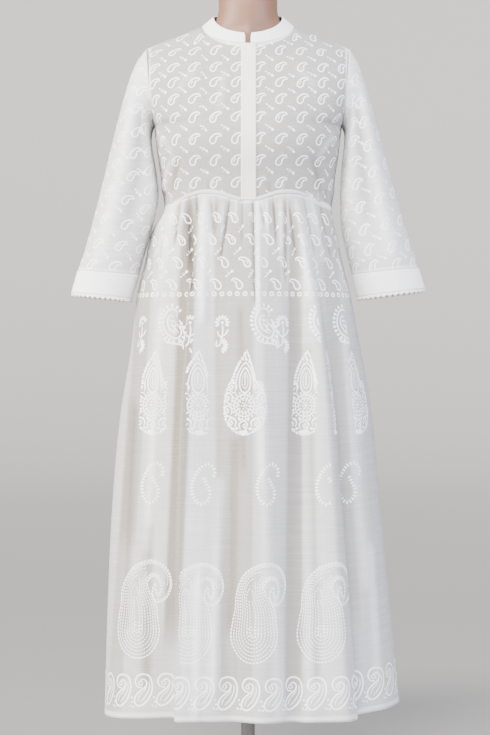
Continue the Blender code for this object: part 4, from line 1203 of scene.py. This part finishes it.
def backdrop_paper():
    paper = bpy.context.scene.dress_colours.backdrop
    made = Finish("backdrop_paper", 0.95)
    made.fix("Specular IOR Level", 0.1)
    return made.done(made.blend(made.noise(made.place(), 0.6), tuple(0.97 * c for c in paper), paper))


MATERIALS, PANELS, PIECES = {}, {}, {}


def material(make):
    if make not in MATERIALS:
        MATERIALS[make] = make()
    return MATERIALS[make]


def metres(name, description, default, least, most):
    return FloatProperty(name=name, description=description, default=default, min=least, max=most,
                         subtype="DISTANCE", unit="LENGTH")


def shade(name, description, default):
    return FloatVectorProperty(name=name, description=description, default=default, size=3,
                               min=0, max=1, subtype="COLOR")


class DressSizes(bpy.types.PropertyGroup):
    """Sizes a user may change."""

    wall: metres("Cloth wall", "Thickness of the single cloth", 0.0008, 0.0003, 0.0012)
    double_wall: metres("Double wall", "Thickness of the collar and cuffs", 0.0017, 0.0006, 0.0018)
    print_lift: metres("Print lift", "How far the print stands on the cloth", 0.00022, 0.0001, 0.0006)
    print_pitch: metres("Print pitch", "Distance between the small paisleys", 0.038, 0.025, 0.08)
    border_pitch: metres("Border pitch", "Distance between the hem border's commas", 0.041, 0.03, 0.08)
    stitch_width: metres("Stitch width", "Width of the sewing thread", 0.0006, 0.0003, 0.0012)
    back_gathers: IntProperty(
        name="Back gathers", description="Number of gathers in the back of the skirt", default=26,
        min=8, max=60)


class DressColours(bpy.types.PropertyGroup):
    """Colours a user may change."""

    cloth: shade("Cloth", "Single cloth between the threads", (0.50, 0.497, 0.49))
    # Painted shade in valleys and creases, with the form's tint showing through
    shade_and_form_tint: shade("Sunken cloth", "Single cloth in the valleys of the skirt", (0.40, 0.345, 0.28))
    # Also the painted light on ridges, lit pleats and the sleeve head
    cloth_lit: shade("Cloth threads", "Thick threads and double cloth", (0.76, 0.76, 0.76))
    print_white: shade("Print", "White print", (0.97, 0.97, 0.965))
    form: shade("Form", "Shell of the dress form", (0.190, 0.094, 0.056))
    backdrop: shade("Backdrop", "Floor and backdrop", (0.264, 0.257, 0.250))


def seam_layers(panel, edges, width):
    """Marks where seam allowances double the cloth, along the named edges."""
    u, v = panel.across, panel.high
    gaps = {"left": u, "right": u[:, -1:] - u, "foot": v, "top": v[-1:] - v}
    for edge in edges:
        doubled = 1 - ease((gaps[edge] - width) / DOUBLED_EDGE)
        panel.layers = mix(panel.layers, np.maximum(panel.layers, DOUBLED), doubled)


def band_shade_and_layers(panel, bands):
    """Adds painted light on pleats and painted shade in sunken stretches to the panel's count of layers.
    """
    scale = PIXEL * (CAMERA_AWAY - np.abs(panel.outer[..., 1])) / CAMERA_AWAY
    px = IMAGE_WIDTH / 2 + (panel.outer[..., 0] - CAMERA_X) / scale
    py = MIDDLE_PY - (panel.outer[..., 2] - CAMERA_Z) / scale
    for left0, right0, top, left1, right1, foot, amount in bands:
        down = (py - top) / (foot - top)
        inside = ease((px - mix(left0, left1, down)) / TONE_EDGE + 0.5)
        inside *= ease((mix(right0, right1, down) - px) / TONE_EDGE + 0.5)
        inside *= ease(down / TONE_TOP + 0.5) * ease((1 - down) / TONE_FOOT)
        panel.layers = panel.layers + amount * inside


def front_creases(rows, near):
    return [(*seen(a, b, near), *seen(c, d, near), width, height) for a, b, c, d, width, height in rows]


def sew(panel, make, slot):
    """Makes a panel's piece, and keeps the panel for what is laid on it."""
    PANELS[panel.name] = panel
    PIECES[panel.name] = panel.build(material(make), slot)


def lay_on(kind, sheet, make, slot):
    """Makes the piece of what is printed or sewn on a panel."""
    name = kind + sheet.panel.name
    PIECES[name] = sheet.build(name, material(make), slot)


class DRESS_OT_bodice(bpy.types.Operator):
    """Cut the two fronts and the back of the bodice"""

    bl_idname = "dress.bodice"
    bl_label = "Bodice"

    def execute(self, context):
        wall = context.scene.dress_sizes.wall

        def front(s, t, side):
            across = np.sin(np.pi / 2 * (s if side == RIGHT else 1 - s))
            points = bodice_point(across, t * TOP_LEVEL, FRONT, side)
            points[..., 0] += side * SEAM * (1 - across)
            return points

        def back(s, t):
            offset = 1 - 2 * s
            across = np.sin(np.pi / 2 * np.abs(offset))
            halves = [bodice_point(across, t * TOP_LEVEL, BACK, side) for side in (RIGHT, LEFT)]
            return np.where((offset > 0)[..., None], *halves)

        def keep(s, t):
            return ease(t / BODICE_FOOT_FADE) * ease((1 - t) / BODICE_TOP_FADE)

        creases = front_creases(BODICE_CREASES, BODICE_NEAR)
        plans = [("bodice_back", back, BODICE_BACK_CREASES, ["left", "right"])]
        for side, end in reversed(SIDES):
            plans.insert(0, ("bodice_front_" + end, partial(front, side=side), creases, [end]))
        for name, place, creases, edges in plans:
            panel = Panel(name, place, wall, creases=creases, keep=keep)
            panel.layers = panel.layers - BODICE_SUNK
            seam_layers(panel, edges, ALLOWANCE)
            seam_layers(panel, ["top", "foot"], END_ALLOWANCE)
            sew(panel, sheer_cotton, "cloth")
        return {"FINISHED"}


class DRESS_OT_skirt(bpy.types.Operator):
    """Gather the front and back of the skirt into the seam"""

    bl_idname = "dress.skirt"
    bl_label = "Skirt"

    def execute(self, context):
        sizes = context.scene.dress_sizes
        draw = random.Random(7)
        back = list(SKIRT_BACK_LONG)
        for i in range(sizes.back_gathers):
            middle = i + 0.5 + draw.uniform(-GATHER_STRAY, GATHER_STRAY)
            x = mix(-GATHER_X, GATHER_X, middle / sizes.back_gathers)
            fall = draw.uniform(*GATHER_LENGTH)
            foot = x * (1 + GATHER_LEAN * fall) + draw.uniform(-FOOT_STRAY, FOOT_STRAY)
            back.append((x, GATHER_TOP, foot, GATHER_TOP - fall, draw.uniform(*GATHER_WIDTH),
                         draw.choice((-1, 1)) * draw.uniform(*GATHER_HEIGHT)))

        def place(s, t, face):
            fall = (1 - t) ** ROW_CROWDING
            turn = np.pi * (s if face == FRONT else 1 - s)
            return skirt_point(drawn_turn(turn, fall, face), fall, face)

        def keep(s, t):
            return ease((1 - t) / CREASE_MARGIN) * np.minimum(1, CREASE_SIDES * s * (1 - s))

        front = front_creases(SKIRT_FRONT_CREASES, CREASE_NEAR)
        for face, name, creases, bands in ((FRONT, "skirt_front", front, FRONT_SHADE_BANDS),
                                           (BACK, "skirt_back", back, BACK_SHADE_BANDS)):
            panel = Panel(name, partial(place, face=face), sizes.wall, creases=creases, keep=keep)
            band_shade_and_layers(panel, bands)
            seam_layers(panel, ["left", "right"], ALLOWANCE)
            seam_layers(panel, ["top"], WAIST_ALLOWANCE)
            seam_layers(panel, ["foot"], HEM_DEPTH)
            sew(panel, sheer_cotton, "cloth")
        return {"FINISHED"}


class DRESS_OT_sleeves(bpy.types.Operator):
    """Set in the sleeves, with their cuffs and lace edges"""

    bl_idname = "dress.sleeves"
    bl_label = "Sleeves"

    def execute(self, context):
        sizes = context.scene.dress_sizes

        def sleeve(s, t, side):
            return sleeve_point(sleeve_turn(s, side), CUFF_TOP * (1 - t), side)

        def cuff(s, t, side):
            return cuff_point(sleeve_turn(s, side), 1 - t, side)

        def lace(s, t, side):
            points = cuff_point(sleeve_turn(s, side), np.ones_like(t), side)
            tooth = np.abs(np.sin(s * np.pi * TEETH)) ** TOOTH_POINT
            points[..., 2] -= (1 - t) * (LACE_BAND + TOOTH * tooth)
            return points

        for side, end in SIDES:
            panel = Panel("sleeve_" + end, partial(sleeve, side=side), sizes.wall, closed=True)
            # Painted highlight over the sleeve head, painted shade in fold troughs and painted light on
            # fold ridges
            folds = sleeve_folds(sleeve_turn(panel.s, side), CUFF_TOP * (1 - panel.t), side)
            shoulder_highlight = SHOULDER_HIGHLIGHT * ease((panel.t - SHOULDER_FROM) / SHOULDER_OVER)
            panel.layers = panel.layers + SLEEVE_LAYERS + shoulder_highlight + FOLD_SHADE * folds
            seam_layers(panel, ["top"], ALLOWANCE)
            seam_layers(panel, ["foot"], END_ALLOWANCE)
            sew(panel, sheer_cotton, "cloth")
            for name, place, make, slot in (("cuff_", cuff, plain_cotton, "plain_cloth"),
                                            ("cuff_lace_", lace, lace_thread, "lace")):
                edging = Panel(name + end, partial(place, side=side), sizes.double_wall, closed=True)
                sew(edging, make, slot)
        return {"FINISHED"}


class DRESS_OT_collar(bpy.types.Operator):
    """Stand the band collar round the neck"""

    bl_idname = "dress.collar"
    bl_label = "Collar"

    def execute(self, context):
        def place(s, t):
            rounding = NOTCH_ROUNDING * NOTCH * np.exp(-((1 - t) / NOTCH_ROUNDED) ** 2)
            start = np.arcsin((NOTCH + rounding) / mix(NECK_X, COLLAR_X, t))
            return collar_point(mix(start, 2 * np.pi - start, s), t)

        sew(Panel("collar", place, context.scene.dress_sizes.double_wall), plain_cotton, "plain_cloth")
        return {"FINISHED"}


class DRESS_OT_placket(bpy.types.Operator):
    """Sew the placket tape and the bands over the seam"""

    bl_idname = "dress.placket"
    bl_label = "Placket and seam bands"

    def execute(self, context):
        wall = context.scene.dress_sizes.wall

        def tape(s, t):
            x = PLACKET_X + (s - 0.5) * PLACKET_WIDTH
            points = bodice_point(np.abs(x) / SHOULDER_X, t * TOP_LEVEL, FRONT, RIGHT)
            return stack(x, points[..., 1] - wall - SEAM, points[..., 2])

        def band(s, t, side):
            start = (PLACKET_WIDTH / 2 + side * PLACKET_X + 2 * SEAM) / SIDE_X
            across = mix(start, BAND_ENDS[side], s if side == RIGHT else 1 - s)
            taper = mix(BAND_TIP, 1.0, ease((s if side == LEFT else 1 - s) / BAND_TAPER))
            z = seam_z(across, FRONT) + (2 * t - 1) * STRIP * BAND_SHARE * taper
            swell = BAND_SWELL * taper * np.sqrt(np.maximum(0, 1 - (2 * t - 1) ** 2))
            depth = (WAIST_FRONT + wall) * bow(across, WAIST_SQUARE) + SEAM + swell
            return stack(side * across * (SIDE_X + wall), -depth, z)

        sew(Panel("placket", tape, TAPE_WALL), cream_tape, "tape")
        for side, end in SIDES:
            panel = Panel("seam_band_" + end, partial(band, side=side), wall)
            panel.layers[:] = BAND_LAYERS
            sew(panel, sheer_cotton, "plain_cloth")
        return {"FINISHED"}


def even_shares(panel, lengths, pitch):
    """Shares of places at an even pitch along a row of the panel."""
    count = int(lengths[-1] / pitch)
    return np.interp((np.arange(count) + 0.5) / count * lengths[-1], lengths, panel.share)


class DRESS_OT_print(bpy.types.Operator):
    """Print the paisleys, sprigs and borders on the cloth"""

    bl_idname = "dress.print"
    bl_label = "Print"

    def execute(self, context):
        sizes = context.scene.dress_sizes
        pitch = sizes.print_pitch
        small = [small_paisley(False), small_paisley(True)]
        tuft = sprig()

        def scatter(sheet, row, places, up_of, mirror=1):
            """One row of small paisleys, or of sprigs on the odd half rows."""
            for i, share in places:
                on_cloth = PRINT_SHARES[0] < share < PRINT_SHARES[1]
                if on_cloth and PRINT_UPS[0] < up_of(share) < PRINT_UPS[1]:
                    stamp = tuft if row % 2 else small[(i * 2 + row) % 3 == 0]
                    turn = SWAY * math.sin(SWAY_RATE * i + row)
                    turn += SPRIG_TURN if row % 2 and mirror < 0 else 0
                    sheet.put(stamp, share, up_of(share), turn, mirror)

        def level_rows(sheet, rows, near, from_right, away, mirror=1):
            """Rows at heights in pixels, from a distance off one end of the panel."""
            panel = sheet.panel
            for row, py in enumerate(rows):
                z = seen(0, py, near)[1]
                lengths = panel.level_lengths(z)
                marks = away + pitch * (np.arange(-1, int(lengths[-1] / pitch) + 2) + 0.5 * (row % 2))
                marks = lengths[-1] - marks if from_right else marks
                shares = np.interp(marks, lengths, panel.share, left=-1, right=2)
                scatter(sheet, row, enumerate(shares), lambda share: panel.level(share, z), mirror)

        for name, from_right, away in (("bodice_front_left", True, OPENING_START),
                                       ("bodice_front_right", False, OPENING_START),
                                       ("bodice_back", False, SIDE_START)):
            sheet = Print(PANELS[name], sizes.print_lift)
            level_rows(sheet, BODICE_PRINT, BODICE_PRINT_NEAR, from_right, away)
            lay_on("print_", sheet, pigment, "cloth")
        for _, end in SIDES:
            panel = PANELS["sleeve_" + end]
            sheet = Print(panel, sizes.print_lift)
            height = float(panel.high[-1].mean())
            for row in range(int(2 * height / pitch)):
                up = (SLEEVE_START + row / 2) * pitch / height
                count = int(panel.across[panel.row_at(up)][-1] / pitch + 0.3)
                places = [(i, (i + 0.5 * (row % 2) + 0.25) / count) for i in range(count)]
                scatter(sheet, row, places, lambda share: up)
            lay_on("print_", sheet, pigment, "cloth")
        for name in ("skirt_front", "skirt_back"):
            panel = PANELS[name]
            sheet = Print(panel, sizes.print_lift)
            level_rows(sheet, SKIRT_PRINT, SKIRT_NEAR, False, SKIRT_START, -1)
            z = seen(0, BEADS_PY)[1]
            for share in even_shares(panel, panel.level_lengths(z), BEAD_PITCH):
                sheet.put(ring_dot(), share, panel.level(share, z))
            for make, py, spacing, places in MOTIF_ROWS:
                stamp, z = make(), seen(0, py, LOW_NEAR)[1]
                if name == "skirt_front":
                    spots = [(panel.nearest_share(*seen(px, py, LOW_NEAR)), shown)
                             for px, *shown in places]
                else:
                    shares = even_shares(panel, panel.level_lengths(z), spacing)
                    spots = [(share, WHOLE) for share in shares]
                for share, shown in spots:
                    sheet.put(stamp, share, panel.level(share, z), shown=shown)
            up = (HEM_DEPTH + BORDER_RISE) / float(panel.high[-1].mean())
            for share in even_shares(panel, panel.across[panel.row_at(up)], sizes.border_pitch):
                sheet.put(border_comma(), share, up)
            lay_on("print_", sheet, pigment, "cloth")
        return {"FINISHED"}


class DRESS_OT_stitches(bpy.types.Operator):
    """Sew the visible stitch lines"""

    bl_idname = "dress.stitches"
    bl_label = "Stitches"

    def execute(self, context):
        width = context.scene.dress_sizes.stitch_width
        for name, lines in STITCHES.items():
            panel = PANELS[name]
            sheet = Print(panel, STITCH_LIFT)
            for way, away in lines:
                whole = panel.high[-1].mean() if way in ("up", "down") else panel.across[:, -1].mean()
                place = away / whole if way in ("up", "left") else 1 - away / whole
                line = np.full(len(STITCH_RUN), place)
                run = (STITCH_RUN, line) if way in ("up", "down") else (line, STITCH_RUN)
                sheet.run(*run, width)
            lay_on("stitches_", sheet, white_thread, "plain_cloth")
        return {"FINISHED"}


class DRESS_OT_form(bpy.types.Operator):
    """Mould the smooth dress form"""

    bl_idname = "dress.form"
    bl_label = "Dress form"

    def execute(self, context):
        slope = (NECK_Z - SHOULDER_Z) / (SHOULDER_X - NECK_X - NECK_SEAM)
        shoulders = []
        for z, front, back, square in FORM_SHOULDERS:
            x = SHOULDER_X - (z + FORM_CLEAR - SHOULDER_Z) / slope
            shoulders.append((z, min(x, SHOULDER_END_X), front, back, square))
        turns = 2 * np.pi * np.arange(FORM_SIDES) / FORM_SIDES
        across = np.sin(turns)
        shape = bmesh.new()
        loops = []
        for z, x, front, back, square in FORM_TRUNK + shoulders + FORM_NECK:
            depth = np.where(np.cos(turns) > 0, -front, back) * bow(across, square)
            loops.append([shape.verts.new((x * a, y, z)) for a, y in zip(across, depth)])
        for low, high in zip(loops, loops[1:]):
            for i in range(FORM_SIDES):
                j = (i + 1) % FORM_SIDES
                shape.faces.new((low[i], low[j], high[j], high[i]))
        shape.faces.new(loops[0][::-1])
        shape.faces.new(loops[-1])
        bmesh.ops.recalc_face_normals(shape, faces=shape.faces)
        mesh = bpy.data.meshes.new("form_shell")
        shape.to_mesh(mesh)
        shape.free()
        made = add_mesh("form_shell", mesh, material(form_shell))
        choose(made)
        bpy.ops.object.shade_smooth_by_angle(angle=FORM_ANGLE)
        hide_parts("form_torso")
        PIECES["form_shell"] = made
        return {"FINISHED"}


class DRESS_OT_stand(bpy.types.Operator):
    """Turn the pole and the round base"""

    bl_idname = "dress.stand"
    bl_label = "Stand"

    def execute(self, context):
        foot, top = BASE_HEIGHT + SEAM, FORM_TRUNK[0][0] - SEAM
        for name, node_name, radius, low, high, edge, sides in (
                ("stand_tube", "stand_pole", POLE_RADIUS, foot, top, POLE_EDGE, POLE_SIDES),
                ("stand_plate", "stand_base", BASE_RADIUS, 0.0, BASE_HEIGHT, BASE_EDGE, BASE_SIDES)):
            bpy.ops.object.select_all(action="DESELECT")
            bpy.ops.mesh.primitive_cylinder_add(
                vertices=sides, radius=radius, depth=high - low, location=(0, 0, (high + low) / 2))
            made = bpy.context.object
            made.name = made.data.name = name
            bpy.ops.object.transform_apply(location=True, rotation=True, scale=True)
            round_off = made.modifiers.new("Edge", "BEVEL")
            round_off.width, round_off.segments, round_off.limit_method = edge, 3, "ANGLE"
            apply_modifiers(made)
            bpy.ops.object.shade_smooth_by_angle(angle=STAND_ANGLE)
            made.data.materials.append(material(brushed_steel))
            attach(made, "root")
            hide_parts(node_name)
            PIECES[name] = made
        return {"FINISHED"}


class DRESS_OT_declare(bpy.types.Operator):
    """Does nothing to the cloth pieces"""

    bl_idname = "dress.declare"
    bl_label = "Cloth cuts"

    def execute(self, context):
        return {"FINISHED"}


class DRESS_OT_stage(bpy.types.Operator):
    """Set the backdrop, the lights and the camera"""

    bl_idname = "dress.stage"
    bl_label = "Stage"

    def execute(self, context):
        scene = context.scene
        bpy.ops.object.select_all(action="DESELECT")
        bpy.ops.mesh.primitive_circle_add(
            vertices=FLOOR_SIDES, radius=FLOOR_RADIUS, fill_type="NGON", location=(0, 0, 0))
        floor = bpy.context.object
        floor.name = floor.data.name = "backdrop"
        rings = [(FLOOR_RADIUS + CORNER_RADIUS * math.sin(a), CORNER_RADIUS * (1 - math.cos(a)))
                 for a in np.linspace(0, np.pi / 2, CORNER_STEPS + 1)[1:]]
        shape = bmesh.new()
        shape.from_mesh(floor.data)
        rim = [edge for edge in shape.edges if edge.is_boundary]
        for radius, height in (*rings, (rings[-1][0], WALL_TOP)):
            made = bmesh.ops.extrude_edge_only(shape, edges=rim)["geom"]
            for vert in (v for v in made if isinstance(v, bmesh.types.BMVert)):
                flat = Vector((vert.co.x, vert.co.y, 0)).normalized() * radius
                vert.co = (flat.x, flat.y, height)
            rim = [e for e in made if isinstance(e, bmesh.types.BMEdge) and e.is_boundary]
        shape.to_mesh(floor.data)
        shape.free()
        floor.data.materials.append(material(backdrop_paper))
        floor.data.shade_smooth()
        scene.world = world = bpy.data.worlds.new("studio")
        world.use_nodes = True
        background = world.node_tree.nodes["Background"]
        background.inputs["Color"].default_value = SKY
        background.inputs["Strength"].default_value = SKY_STRENGTH
        for name, kind, place, size, energy, tint in LIGHTS:
            lamp = bpy.data.lights.new(name, kind)
            lamp.energy, lamp.color = energy, tint
            if kind == "SUN":
                lamp.angle = size
            else:
                lamp.shape, lamp.size = "SQUARE", size
            made = bpy.data.objects.new(name, lamp)
            scene.collection.objects.link(made)
            made.location = place
            made.rotation_euler = (Vector(AIM) - Vector(place)).to_track_quat("-Z", "Y").to_euler()
        eye = bpy.data.cameras.new("camera")
        made = bpy.data.objects.new("camera", eye)
        scene.collection.objects.link(made)
        made.location = (CAMERA_X, -CAMERA_AWAY, CAMERA_Z)
        made.rotation_euler = (math.pi / 2, 0, 0)
        eye.sensor_width = SENSOR
        eye.lens = SENSOR * CAMERA_AWAY / (IMAGE_HEIGHT * PIXEL)
        scene.camera = made
        return {"FINISHED"}


class DRESS_PT_panel(bpy.types.Panel):
    """Buttons for each piece of the dress"""

    bl_idname = "DRESS_PT_panel"
    bl_label = "Dress"
    bl_space_type = "VIEW_3D"
    bl_region_type = "UI"
    bl_category = "Dress"

    def draw(self, context):
        for group in (context.scene.dress_sizes, context.scene.dress_colours):
            for name in group.__annotations__:
                self.layout.prop(group, name)
        for operator in OPERATORS:
            self.layout.operator(operator.bl_idname)


OPERATORS = (
    DRESS_OT_bodice, DRESS_OT_skirt, DRESS_OT_sleeves, DRESS_OT_collar, DRESS_OT_placket,
    DRESS_OT_print, DRESS_OT_stitches, DRESS_OT_form, DRESS_OT_stand, DRESS_OT_declare,
    DRESS_OT_stage,
)
CLASSES = (DressSizes, DressColours, *OPERATORS, DRESS_PT_panel)


def register():
    for each in CLASSES:
        bpy.utils.register_class(each)
    bpy.types.Scene.dress_sizes = PointerProperty(type=DressSizes)
    bpy.types.Scene.dress_colours = PointerProperty(type=DressColours)


def unregister():
    del bpy.types.Scene.dress_colours
    del bpy.types.Scene.dress_sizes
    for each in reversed(CLASSES):
        bpy.utils.unregister_class(each)


def main():
    register()
    bpy.ops.dress.bodice()
    bpy.ops.dress.skirt()
    bpy.ops.dress.sleeves()
    bpy.ops.dress.collar()
    bpy.ops.dress.placket()
    bpy.ops.dress.print()
    bpy.ops.dress.stitches()
    bpy.ops.dress.form()
    bpy.ops.dress.stand()
    bpy.ops.dress.declare()
    bpy.ops.dress.stage()


if __name__ == "__main__":
    main()
